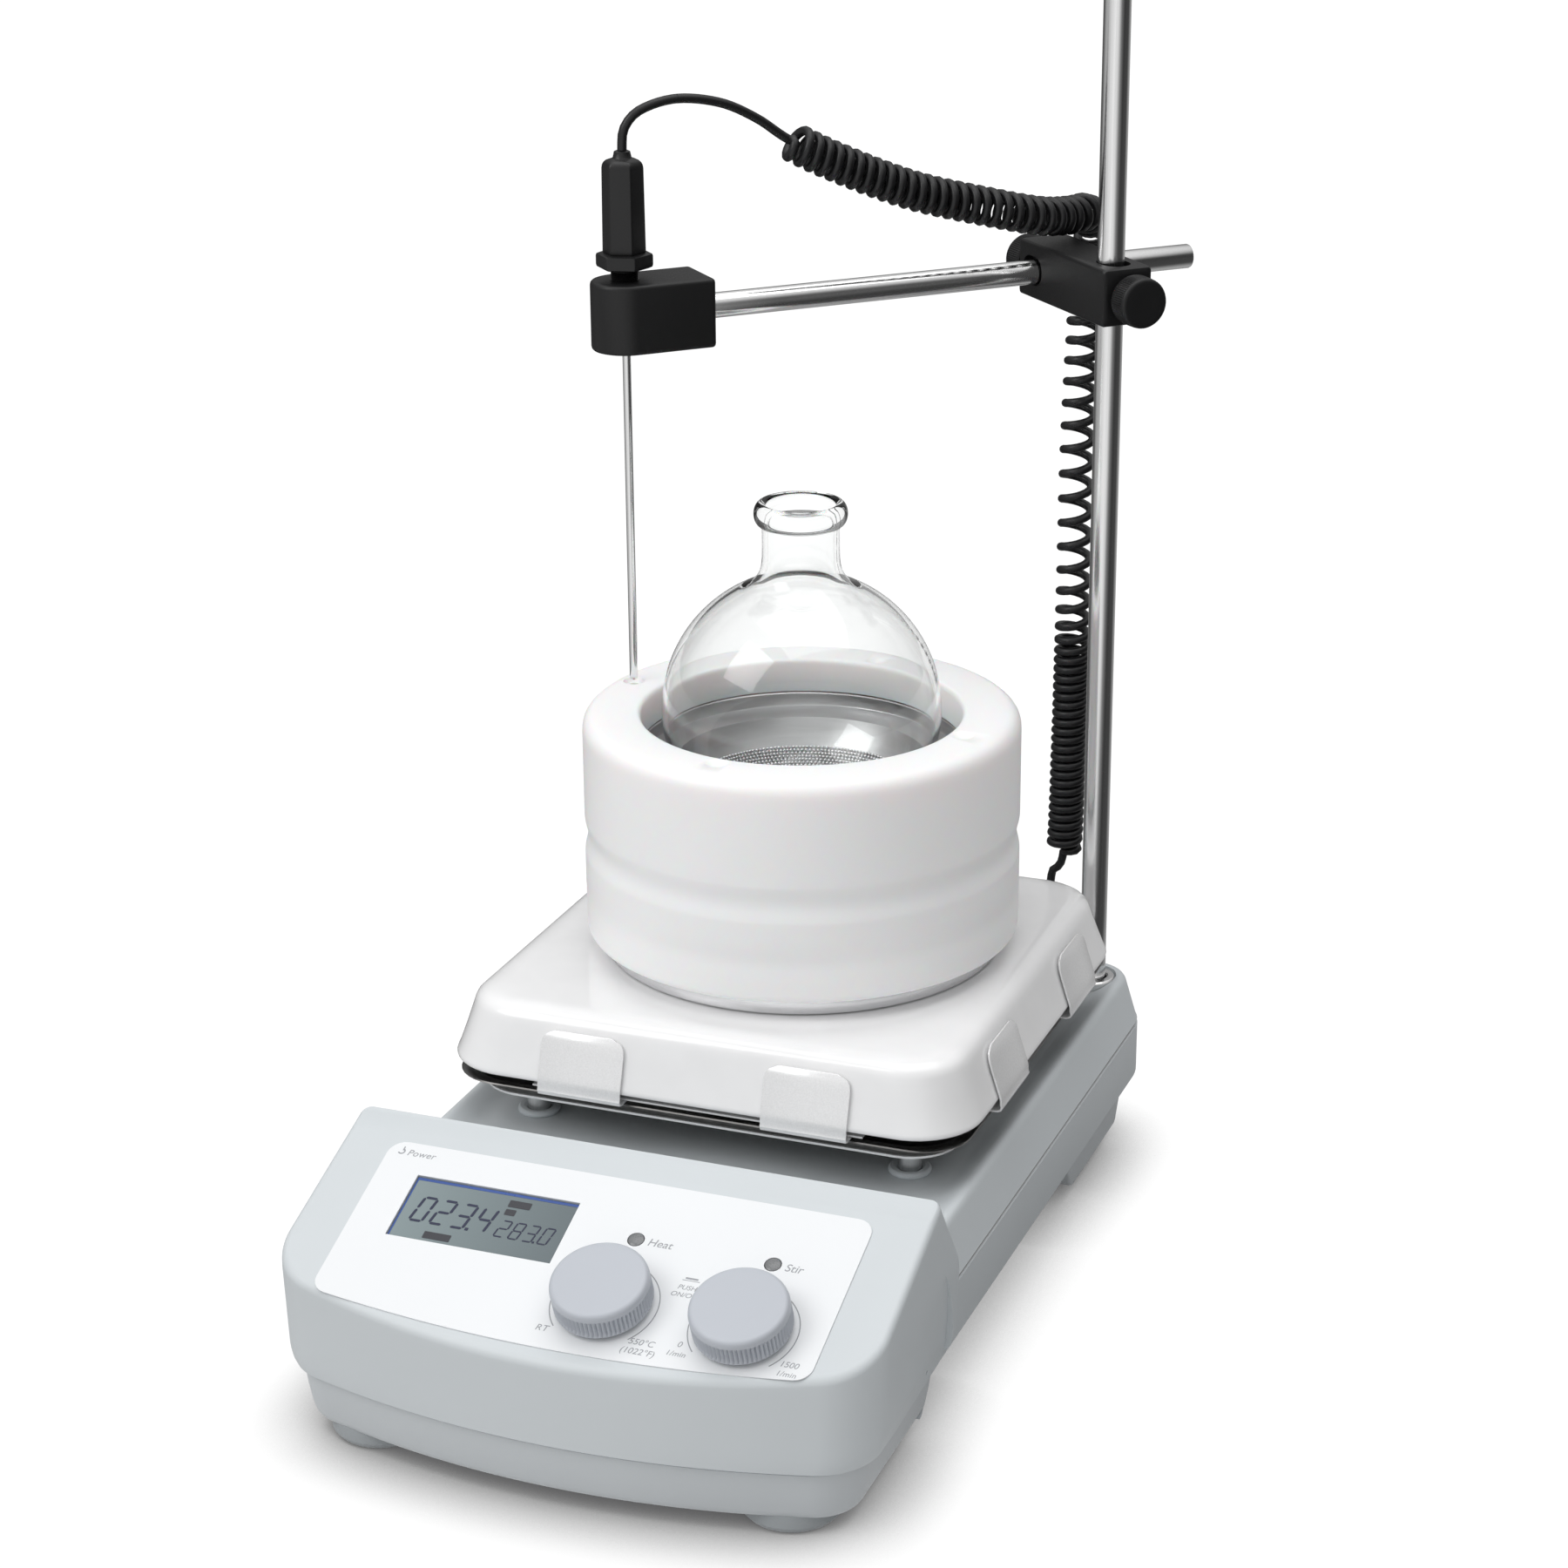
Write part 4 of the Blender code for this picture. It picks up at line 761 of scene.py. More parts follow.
# ---- hot plate ------------------------------------------------------------------------------
def square(half, radius, z, steps=12):
    return level(rectangle(half, half, radius, steps), z)


def make_plate():
    profile = [  # half width, corner radius, height
        (82, 14, 112.0), (84.5, 16, 112.0), (87.0, 17.5, 111.75), (89.0, 18.8, 111.2), (90.6, 20, 110.3),
        (91.8, 21, 109.1), (92.6, 21.7, 107.4), (93.2, 22, 105.4), (95.4, 23, 98.0), (97.6, 24, 91.2),
        (98.2, 24, 89.6), (98.5, 24, 88.6), (98.4, 24, 87.9), (98.0, 23.6, 87.5), (97.3, 23, 87.4),
        (96.4, 22, 87.5), (95.2, 21.5, 88.3), (94.0, 21, 90.0), (88.5, 18.5, 106.4), (88, 18, 107.0),
    ]
    rings = [square(h, r, z) for h, r, z in profile]
    piece("enamel_plate", "base", ENAMEL, *rings_mesh(rings), where=PLATE, slot="ceramic_white",
          replaces="hot_plate", smooth=40)


def make_shield():
    z = 75.5
    profile = [
        (83, 13, z), (85.5, 15, z), (87.2, 16, z + 0.5), (88.4, 17, z + 1.4), (92.0, 18, z + 6.0),
        (92.8, 18, z + 6.6), (95.6, 18, z + 6.8), (96.0, 18, z + 7.1), (95.6, 18, z + 7.5),
        (92.4, 18, z + 7.3), (91.3, 17.4, z + 6.6), (87.4, 16, z + 2.0), (86.2, 15, z + 1.3),
        (83, 13, z + 1.0),
    ]
    rings = [square(h, r, zz, 8) for h, r, zz in profile]
    tray = piece("shield_tray", "base", SHIELD, *rings_mesh(rings), where=PLATE,
                 slot="dark_steel", replaces="heat_shield", smooth=40)
    cut(tray, cutter(*disc(7, 60, 90, 40), PLATE), smooth=40)
    edge = [square(h, r, zz, 8) for h, r, zz in
            ((88.4, 17.2, z + 0.5), (89.3, 17.6, z + 0.6), (89.4, 17.6, z + 1.5),
             (88.6, 17.2, z + 1.5))]
    piece("shield_edge", "base", SHEET, *rings_mesh(edge, closed=True), where=PLATE, slot="steel")


def lean(z):
    """How far the plate's sloping side stands from its middle at a height."""
    return polyline([(87.4, 98.5), (88.6, 98.55), (91.2, 97.65), (98.0, 95.45), (105.4, 93.25),
                     (108.5, 92.4)], z)


def make_clips():
    low, thick, wide, tall = 84.1, 0.8, 15.8, 22.4
    path = [(-86, low), (-(98.2), low), (-(99.15), low + 0.35), (-(99.55), low + 1.3)]
    for k in range(0, 13):
        z = 86.2 + (low + tall - 86.2) * k / 12
        path.append((-(lean(max(z, 88.0)) + 0.65), z))
    for turn, name in ((0, "front"), (90, "right"), (180, "back"), (270, "left")):
        parts = []
        for middle in (-42, 42):
            rings = []
            count = len(path)
            for n, (y, z) in enumerate(path):
                a, b = Vector(path[max(n - 1, 0)]), Vector(path[min(n + 1, count - 1)])
                along = (b - a).normalized()
                out = Vector((-along.y, along.x)) * thick
                if out.x > 0:
                    out = -out
                if n < 4:
                    out = Vector((along.y, -along.x)) * thick
                    out = out if out.x <= 0.01 and out.y <= 0.01 else -out
                half = wide
                rest = low + tall - z
                corner = 5.2
                if rest < corner:
                    half = wide - corner + sqrt(max(0.0, corner ** 2 - (corner - rest) ** 2))
                ring = [(middle + s * half, y + o * out.x, z + o * out.y)
                        for s, o in ((-1, 0), (1, 0), (1, 1), (-1, 1))]
                rings.append(ring)
            parts.append(rings_mesh(rings))
        parts.append(boxed((-62, -95, low), (62, -86, low + thick)))
        where = PLATE @ Matrix.Rotation(radians(turn), 4, "Z")
        clip = piece("clip_" + name, "base", SHEET, *joined(*parts), where=where, slot="steel",
                     replaces="plate_clip_" + name, smooth=30)
        soften(clip, 0.22, 2, 50)


def make_posts():
    for name, (a, b) in {"front_left": (-1, -1), "front_right": (1, -1), "rear_left": (-1, 1),
                         "rear_right": (1, 1)}.items():
        profile = fillet([(0, 75.2), (4.25, 75.2), (4.25, 63.0), (0, 63.0)], 0.3, 3)
        spot = Matrix.Translation((a * 71, b * 71, 0))
        piece("stand_" + name, "base", STEEL_UP, *lathe(profile, 48), where=PLATE @ spot,
              slot="steel", replaces="post_" + name)
        ring = fillet([(4.4, 62.6), (7.6, 62.6), (7.6, 64.0), (6.9, 64.7), (5.4, 64.7), (4.4, 64.1)],
                      0.5, 4)
        piece("collar_" + name, "base", SHELL, *lathe(ring, 56, closed=True), where=PLATE @ spot,
              slot="shell_grey")


# ---- flask and carrier ----------------------------------------------------------------------
FLASK_Z, FLASK_R, WALL = 200.5, 50.5, 1.8


def arc(radius, middle_z, first, last, steps):
    return [(radius * sin(radians(first + (last - first) * k / steps)),
             middle_z + radius * cos(radians(first + (last - first) * k / steps)))
            for k in range(steps + 1)]


def make_carrier():
    top, groove = 200.5, 155.5
    profile = [(59.4, top - 0.1), (60.2, top), (73.8, top), (75.4, top - 0.2), (76.8, top - 0.8),
               (77.9, top - 1.8), (78.7, top - 3.1), (79.1, top - 4.6), (79.2, top - 6.5)]
    for k in range(0, 9):
        profile.append((79.2, top - 9 - k * 3.2))
    for k in range(-12, 13):
        z = -k * 0.62
        profile.append((79.2 - 1.2 * (0.5 + 0.5 * cos(pi * min(1, abs(z) / 7.0))) ** 0.8,
                        groove + z))
    profile += [(79.2, 143), (79.2, 136.4), (79.12, 136.0), (79.12, 130.9), (79.2, 130.5),
                (79.2, 122.0), (79.0, 120.4), (78.4, 119.4), (77.6, 119.0), (66.6, 119.0),
                (66.6, 187.6), (58.2, 187.6), (58.0, 188), (58.0, top - 2.2), (58.25, top - 1.1),
                (58.7, top - 0.4)]
    jacket = piece("jacket", "carrier", JACKET, *lathe(profile, 144, closed=True),
                   where=CARRIER, slot="ptfe_white", replaces="carrier_jacket", smooth=40)
    probe_spot = PROBE.translation
    drill = Matrix.Translation((probe_spot.x, probe_spot.y, 0))
    cutters = [cutter(*disc(2.2, 136, 208, 28), drill),
               cutter(*lathe([(0, top - 1.5), (3.0, top - 1.5), (4.2, top + 0.3), (4.2, 208), (0, 208)],
                             40), drill)]
    centre = CARRIER.translation
    reach = (Vector((probe_spot.x, probe_spot.y)) - Vector((centre.x, centre.y)))
    for turn in (90, 180, 270):
        spot = Matrix.Rotation(radians(turn), 2) @ reach
        spot = spot.normalized() * 64.0
        place = Matrix.Translation((centre.x + spot.x, centre.y + spot.y, 0))
        cutters.append(cutter(*lathe([(0, top - 1.3), (1.8, top - 1.2), (3.4, top - 0.5),
                                      (4.6, top + 0.4), (4.6, 208), (0, 208)], 40), place))
    cut(jacket, *cutters, smooth=40)

    pocket = arc(52.0, FLASK_Z, 180, 112.62, 22)
    inner = pocket + [(53.5, 181.5), (57.6, 181.9), (57.9, 182.4)]
    outer = [(58.0, 186.6), (58.4, 187.0), (66.0, 187.0), (66.0, 118.8), (66.2, 118.4), (72.2, 118.1),
             (72.8, 117.6), (73.0, 116.8), (73.0, 113.0), (72.6, 112.5), (72.0, 112.3), (0, 112.3)]
    core = [(0, pocket[0][1])] + inner[1:] + outer
    piece("bowl", "carrier", TURNED, *lathe(core, 128), where=CARRIER, slot="aluminium",
          replaces="carrier_core", smooth=40, looks=[TURNED, BOWL],
          which=lambda face: 1 if face.center.z > 0.140 else 0)


def make_beads():
    """Small beads between the flask and the bowl, which carry the heat across."""
    ball_v, ball_f = lathe([(0, 1), (0.75, 0.66), (1, 0), (0.75, -0.66), (0, -1)], 7)
    parts = []
    middle, size = FLASK_R + 0.74, 0.66
    for row in range(11):
        polar = radians(180 - 40.2 - row * 1.42)
        ring = middle * sin(polar)
        count = int(2 * pi * ring / 1.42)
        for k in range(count):
            angle = 2 * pi * (k + 0.5 * (row % 2) + 0.22 * sin(k * 12.9898 + row)) / count
            spot = Vector((ring * cos(angle), ring * sin(angle), FLASK_Z + middle * cos(polar)))
            parts.append(([tuple(spot + Vector(p) * size) for p in ball_v], ball_f))
    piece("heat_beads", "carrier", TURNED, *joined(*parts), where=CARRIER, slot="aluminium",
          smooth=80)


def make_flask():
    neck, top = 13.8, 278.0
    meet = 24.0
    outside = arc(FLASK_R, FLASK_Z, meet, 180, 60)
    inner_r = FLASK_R - WALL
    inside = arc(inner_r, FLASK_Z, 180, meet, 60)
    z0 = outside[0][1]
    throat = [(neck, z0 + 14.5), (neck + 0.05, z0 + 11), (neck + 0.35, z0 + 8.2),
              (neck + 1.0, z0 + 5.6), (neck + 2.3, z0 + 3.3), (neck + 4.3, z0 + 1.3)]
    inner_throat = [(r - WALL * 0.97, z - 0.35) for r, z in reversed(throat)]
    bead_arc = [(neck + 0.2 + 2.75 * sin(radians(a)), top - 4.4 + 4.3 * cos(radians(a)))
                for a in range(0, 181, 12)]
    profile = ([(neck - WALL, top - 4), (neck - WALL + 0.2, top - 1.6), (neck - 0.9, top - 0.5)]
               + bead_arc + [(neck + 0.05, top - 9.6), (neck, top - 12)] + throat + outside[:-1]
               + [(0, FLASK_Z - FLASK_R), (0, FLASK_Z - inner_r)] + inside[1:] + inner_throat
               + [(neck - WALL, top - 12)])
    piece("glass_flask", "flask", GLASS, *lathe(profile, 128, closed=True), where=CARRIER,
          slot="glass", replaces="flask", smooth=60)


# ---- rod, clamp, arm and probe --------------------------------------------------------------
def upright(matrix_axis):
    """A turn that lays a lathe's Z along an axis."""
    return {"Y": Matrix.Rotation(-pi / 2, 4, "X"), "X": Matrix.Rotation(pi / 2, 4, "Y"),
            "-X": Matrix.Rotation(-pi / 2, 4, "Y")}[matrix_axis]


def bar(profile_r, low, high, edge=0.6):
    """The outline of a round bar with broken edges, for the lathe."""
    rows = [(0, low), (profile_r - edge, low), (profile_r - edge * 0.3, low + edge * 0.3),
            (profile_r, low + edge)]
    count = max(2, int((high - low) / 40))
    rows += [(profile_r, low + edge + (high - low - 2 * edge) * k / count)
             for k in range(1, count)]
    rows += [(profile_r, high - edge), (profile_r - edge * 0.3, high - edge * 0.3),
             (profile_r - edge, high), (0, high)]
    return rows


def make_rod():
    piece("upright_rod", "rod", STEEL_UP, *lathe(bar(5.0, 52, 500, 0.9), 64), where=ROD,
          slot="steel", replaces="support_rod", smooth=40)
    bush = fillet([(5.4, 51.5), (5.4, 65.9), (5.9, 66.5), (8.3, 66.5), (9, 65.8), (9, 34), (5.4, 34)],
                  0.5, 4)
    piece("bush_ring", "base", STEEL_UP, *lathe(bush, 64, closed=True), where=ROD, slot="steel",
          replaces="rod_bush", smooth=40)


def make_clamp():
    rings = []
    for inset, y in ((1.4, -53.0), (0.42, -52.6), (0, -51.6), (0, 11.6), (0.42, 12.6), (1.4, 13.0)):
        ring = rectangle(10.0 - inset, 10.5 - inset, 1.4, 5)
        rings.append([(y, a, b) for a, b in ring])
    block = piece("boss", "clamp", BLACK, *rings_mesh(rings), where=CLAMP, slot="black_plastic",
                  replaces="clamp_block", smooth=28)
    slot = rectangle(7.4, 5.4, 5.35, 10, (-1.6, 0.2))
    arm_slot = rings_mesh([[(a - 0.2, y, b) for a, b in slot] for y in (-20, -6.5)])
    arm_verts, arm_faces = disc(5.0, -20, 20, 48)
    cutters = [
        cutter(*disc(5.4, -20, 20, 48), CLAMP),
        cutter([(x, z, y) for x, y, z in arm_verts], arm_faces, ARM),
        cutter(*arm_slot, ARM),
    ]
    # the rod's hole is a slot as well, a little longer than it is wide
    cutters.append(cutter(*slab(rectangle(7.2, 5.4, 5.35, 10, (1.8, 0.0)), 5.0, 20), CLAMP))
    cut(block, *cutters, smooth=28)
    for name, where, axis, tip in (("rod_screw", CLAMP, "X", 6.2), ("arm_screw", ARM, "-X", 5.8)):
        profile = [(0, 25.5), (4.0, 25.7), (7.4, 25.8), (8.2, 25.75), (8.8, 25.4), (9.1, 24.8)]
        flutes = len(profile)
        profile += [(9.2, 24.0), (9.25, 22.0), (9.25, 19.0), (9.2, 17.6)]
        ending = len(profile)
        profile += [(8.9, 16.8), (8.2, 16.2), (4.6, 16.0), (4.5, 13.5), (2.5, 13.4), (2.5, tip),
                    (0, tip)]

        def wave(row, k, first=flutes, last=ending):
            return -0.28 * (k % 2) if first <= row < last else 0

        piece(name + "_thumb", name, BLACK, *lathe(profile, 144, wave=wave),
              where=where @ upright(axis), slot="black_plastic", replaces=name, smooth=35)


def make_arm():
    where = ARM @ upright("Y")
    piece("level_arm", "arm", STEEL_SIDE, *lathe(bar(4.6, -160, 56, 0.7), 64), where=where,
          slot="steel", replaces="arm_rod", smooth=40)


def make_holder():
    plan = rounded([(-12.5, 30, 1.6), (-12.5, -12.5, 12.49), (12.5, -12.5, 12.49),
                    (12.5, 30, 1.6)], 14)
    rings = []
    for move, z in ((1.4, -12.5), (0.7, -12.3), (0.2, -11.8), (0, -11.0), (0, 11.0), (0.2, 11.8),
                    (0.7, 12.3), (1.4, 12.5)):
        rings.append(level(offset(plan, move), z))
    holder = piece("probe_block", "holder", BLACK, *rings_mesh(rings), where=PROBE,
                   slot="black_plastic", replaces="probe_holder", smooth=35)
    cutters = [
        cutter(*disc(1.9, -20, 20, 24), PROBE),
        cutter(*lathe([(0, 10.6), (6.4, 10.6), (6.6, 11.6), (7.6, 12.7), (7.6, 20), (0, 20)], 48), PROBE),
        cutter([(x, z, y) for x, y, z in disc(5.0, 13, 50, 48)[0]], disc(5.0, 13, 50, 48)[1], PROBE),
    ]
    cut(holder, *cutters, smooth=35)


def make_probe():
    neck = 12.8

    def hexagon(reach, z, corner=0.9):
        return level(rounded([(reach * cos(pi * k / 3), reach * sin(pi * k / 3), corner)
                              for k in range(6)], 4), neck + z)

    def circle(radius, z):
        count = 30
        turns = [2 * pi * (k - 2) / count for k in range(count)]
        return [(radius * cos(a), radius * sin(a), neck + z) for a in turns]

    thread = []
    for k in range(9):
        thread += [(4.6, 0.0 + k * 0.5), (5.05, 0.25 + k * 0.5)]
    neck_part = lathe([(1.8, neck - 1.5), (4.6, neck - 1.5)] + [(r, neck - 1.2 + z) for r, z in thread]
                      + [(4.6, neck + 4.3), (1.8, neck + 4.3)], 48, closed=True)
    nut = rings_mesh([hexagon(9.2, 4.1, 2.4), hexagon(10.2, 4.6, 1.2), hexagon(10.4, 5.4, 0.9),
                      hexagon(10.4, 8.4, 0.9), hexagon(10.2, 9.1, 1.2), hexagon(9.2, 9.5, 2.4)])
    grip = rings_mesh([hexagon(7.7, 9.55), hexagon(7.9, 10.0), hexagon(7.6, 39.4), hexagon(7.4, 40.6),
                       hexagon(6.9, 41.5, 1.2), hexagon(6.1, 42.2, 1.4), circle(4.2, 42.7),
                       circle(3.6, 42.9), circle(3.3, 43.3), circle(2.9, 45.2), circle(2.3, 45.5)])
    piece("probe_grip", "probe", HANDLE, *joined(neck_part, nut, grip), where=PROBE,
          slot="black_plastic", replaces="probe_handle", smooth=30)
    low, high = 201.1 - ARM_Z, neck + 3.0
    rows = [(0, low), (0.7, low + 0.1), (1.25, low + 0.5), (1.5, low + 1.2)]
    rows += [(1.5, low + 1.2 + (high - low - 1.2) * k / 8) for k in range(1, 9)] + [(0, high)]
    piece("sheath", "probe", STEEL_UP, *lathe(rows, 32), where=PROBE, slot="steel",
          replaces="probe_sheath", smooth=50)


# ---- probe cord -----------------------------------------------------------------------------
# The cord's route, measured from the middle of the housing, as the CAD part has it.
CORD_ROUTE = [
    (-66.3, 57.2, 396.5), (-65.6, 57.9, 404.0), (-61.0, 62.0, 410.0), (-51.0, 71.0, 413.0),
    (-39.0, 82.0, 410.5), (-29.0, 91.5, 404.0), (-20.0, 100.0, 395.5), (-6.0, 112.0, 386.0),
    (16.0, 131.0, 374.0), (38.0, 152.0, 365.5), (52.0, 170.0, 359.8), (58.5, 186.0, 357.4),
    (61.5, 198.5, 356.2), (61.0, 211.0, 348.5), (56.5, 220.5, 320.0), (54.0, 222.0, 260.0),
    (53.6, 222.0, 200.0), (53.0, 222.0, 140.0), (51.7, 222.0, 88.0), (47.0, 222.0, 78.0),
    (47.0, 221.5, 64.0), (51.0, 218.0, 49.0), (57.5, 210.0, 40.3), (62.0, 199.6, 38.0),
]
CORD_D = 3.4
COIL_R = 5.7  # the coil's radius at the cord's own middle


def route_at(t):
    """A place on the smooth curve through the route's points."""
    n = min(int(t), len(CORD_ROUTE) - 2)
    f = t - n
    a = Vector(CORD_ROUTE[max(n - 1, 0)])
    b, c = Vector(CORD_ROUTE[n]), Vector(CORD_ROUTE[n + 1])
    d = Vector(CORD_ROUTE[min(n + 2, len(CORD_ROUTE) - 1)])
    return 0.5 * (2 * b + (c - a) * f + (2 * a - 5 * b + 4 * c - d) * f ** 2
                  + (3 * b - a - 3 * c + d) * f ** 3)


def turn_gap(t):
    """How far apart the coil's turns lie along the route."""
    return polyline([(6.0, 4.8), (6.5, 4.3), (8.4, 4.4), (9.5, 4.8), (10.5, 5.2), (12.5, 6.5),
                     (14.0, 7.2), (14.6, 8.5), (15.2, 10.2), (15.8, 9.6), (16.2, 7.0), (16.38, 4.4),
                     (16.5, 3.75), (17.8, 3.7), (17.9, 5.0), (18.0, 5.4)], t)


def cord_line():
    """The whole cord's centreline as (t on the route, place), coiled between leads."""
    step = 1 / 900
    spots = [route_at(k * step) for k in range(int(23 / step) + 1)]
    line, angle = [], 0.0
    along = (spots[1] - spots[0]).normalized()
    side = along.cross(Vector((0, 0, 1)).cross(along)).normalized()
    if side.length < 0.5:
        side = Vector((1, 0, 0))
    for k, spot in enumerate(spots):
        t = k * step
        nxt = spots[min(k + 1, len(spots) - 1)]
        prev = spots[max(k - 1, 0)]
        along = (nxt - prev).normalized()
        side = (side - along * side.dot(along)).normalized()
        other = along.cross(side)
        moved = (nxt - spot).length
        swell = smoothstep((t - 6.0) / 0.12) * smoothstep((18.0 - t) / 0.05)
        if 6.0 <= t <= 18.0:
            angle += 2 * pi * moved / turn_gap(t)
        place = spot + (side * cos(angle) + other * sin(angle)) * COIL_R * swell
        line.append((t, place))
    return line


def thin_line(points, least):
    """Points at about an even spacing along a line."""
    kept, far = [points[0]], 0.0
    for a, b in zip(points, points[1:]):
        far += (b - a).length
        if far >= least:
            kept.append(b)
            far = 0.0
    if (points[-1] - kept[-1]).length > least * 0.3:
        kept.append(points[-1])
    else:
        kept[-1] = points[-1]
    return kept


def sweep(points, radius, sides=10):
    """Points and faces of a round tube along a line, in millimetres."""
    rings = []
    side = None
    for n, p in enumerate(points):
        along = (points[min(n + 1, len(points) - 1)] - points[max(n - 1, 0)]).normalized()
        if side is None:
            side = along.orthogonal().normalized()
        side = (side - along * side.dot(along)).normalized()
        other = along.cross(side)
        rings.append([tuple(p + (side * cos(2 * pi * k / sides) + other * sin(2 * pi * k / sides))
                            * radius) for k in range(sides)])
    return rings_mesh(rings)


def make_cord():
    line = cord_line()
    hang = (Vector((54.0, 222.0, 345.0)), Vector((54.0, 222.0, 140.0)))
    spans = [  # name, CAD node, first and last t, bodies, where one gives way to the other
        ("lead_front", "cord_lead_front", 0, 3, "probe", "holder", (route_at(0.4), route_at(3))),
        ("lead_rear", "cord_lead_rear", 3, 6, "holder", "arm", (route_at(3), route_at(6))),
        ("coil_upper", "cord_coil_upper", 6, 10, "arm", "clamp", (route_at(6), route_at(10))),
        ("coil_bend", "cord_coil_bend", 10, 14, "clamp", "rod", hang),
        ("coil_lower", "cord_coil_lower", 14, 18, "clamp", "rod", hang),
        ("tail", "cord_tail", 18, 23, "rod", "base", (route_at(18), route_at(22))),
    ]
    for name, node, first, last, body, other, ends in spans:
        fine = [p for t, p in line if first - 1e-6 <= t <= last + 1e-6]
        coiled = "coil" in name
        points = thin_line(fine, 1.9 if coiled else 2.6)
        verts, faces = sweep(points, CORD_D / 2, 12 if coiled else 16)
        tube = piece("cord_" + name + "_tube", None, CORD, verts, faces, where=HOUSING,
                     slot="cord_black", smooth=60)
        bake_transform(tube)
        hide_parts(node)


# ---- rear fittings --------------------------------------------------------------------------
def paint(name, look):
    """A CAD node that keeps its shape and gets a better material."""
    data = NODES[name].data
    data.materials.clear()
    data.materials.append(look)


def make_plug():
    profile = [(0, -9), (3.8, -9), (3.8, 2.4), (6.2, 2.4), (6.4, 2.9)]
    for k in range(9):
        profile += [(6.4, 3.6 + k * 1.3), (6.05, 3.9 + k * 1.3), (6.05, 4.3 + k * 1.3),
                    (6.4, 4.6 + k * 1.3)]
    profile += [(6.2, 16.0), (4.0, 18.6), (3.4, 19.6), (2.6, 27.0), (2.2, 27.3), (0, 27.3)]
    where = HOUSING @ Matrix.Translation((62, REAR_Y, 38)) @ upright("Y")
    piece("probe_plug", "base", BLACK, *lathe([(r, z) for r, z in profile], 48), where=where,
          slot="black_plastic", replaces="cord_plug", smooth=35)


def make_rear():
    for name in ("mains_inlet", "switch_frame", "probe_socket", "power_rocker"):
        paint(name, SOCKET)


def paint_inside():
    board = plastic("board_green", (0.03, 0.15, 0.07), 0.4, 0.1, 900, 0.1)
    winding = metal("motor_can", (0.5, 0.5, 0.5), 0.3, (1, 1, 0.1), 500)
    magnet = metal("nickel_plate", (0.42, 0.42, 0.41), 0.25, (1, 1, 1), 400)
    for name in ("control_pcb", "power_pcb"):
        paint(name, board)
    for name in ("stirrer_motor", "motor_shaft", "heat_shaft", "stir_shaft"):
        paint(name, winding)
    for name in ("magnet_north", "magnet_south"):
        paint(name, magnet)
    for name in ("magnet_yoke", "motor_bracket", "heater"):
        paint(name, SHIELD)
    for name in ("lcd_module", "heat_encoder", "stir_encoder"):
        paint(name, SOCKET)
    paint("control_panel_label", LABEL)


# ---- stage ----------------------------------------------------------------------------------
AROUND = [  # how bright the studio is around the object: turns of the way round, brightness
    (0.0, 0.42), (0.083, 0.50), (0.18, 0.85), (0.264, 1.0), (0.333, 0.85), (0.403, 0.22),
    (0.472, 0.05), (0.597, 0.07), (0.68, 0.40), (0.778, 0.36), (0.847, 0.10), (0.944, 0.12),
    (1.0, 0.42),
]


def around(tree, x, y):
    """The studio's brightness in the direction that a point lies in."""
    angle = tree.nodes.new("ShaderNodeMath")
    angle.operation = "ARCTAN2"
    tree.links.new(y, angle.inputs[0])
    tree.links.new(x, angle.inputs[1])
    turn = tree.nodes.new("ShaderNodeMapRange")
    turn.inputs["From Min"].default_value = -pi
    turn.inputs["From Max"].default_value = pi
    tree.links.new(angle.outputs["Value"], turn.inputs["Value"])
    stops = tree.nodes.new("ShaderNodeValToRGB")
    stops.color_ramp.elements.remove(stops.color_ramp.elements[1])
    for n, (where, bright) in enumerate(AROUND):
        stop = stops.color_ramp.elements[0] if n == 0 else stops.color_ramp.elements.new(where)
        stop.position, stop.color = where, (bright, bright, bright, 1)
    tree.links.new(turn.outputs["Result"], stops.inputs["Fac"])
    return stops.outputs["Color"]


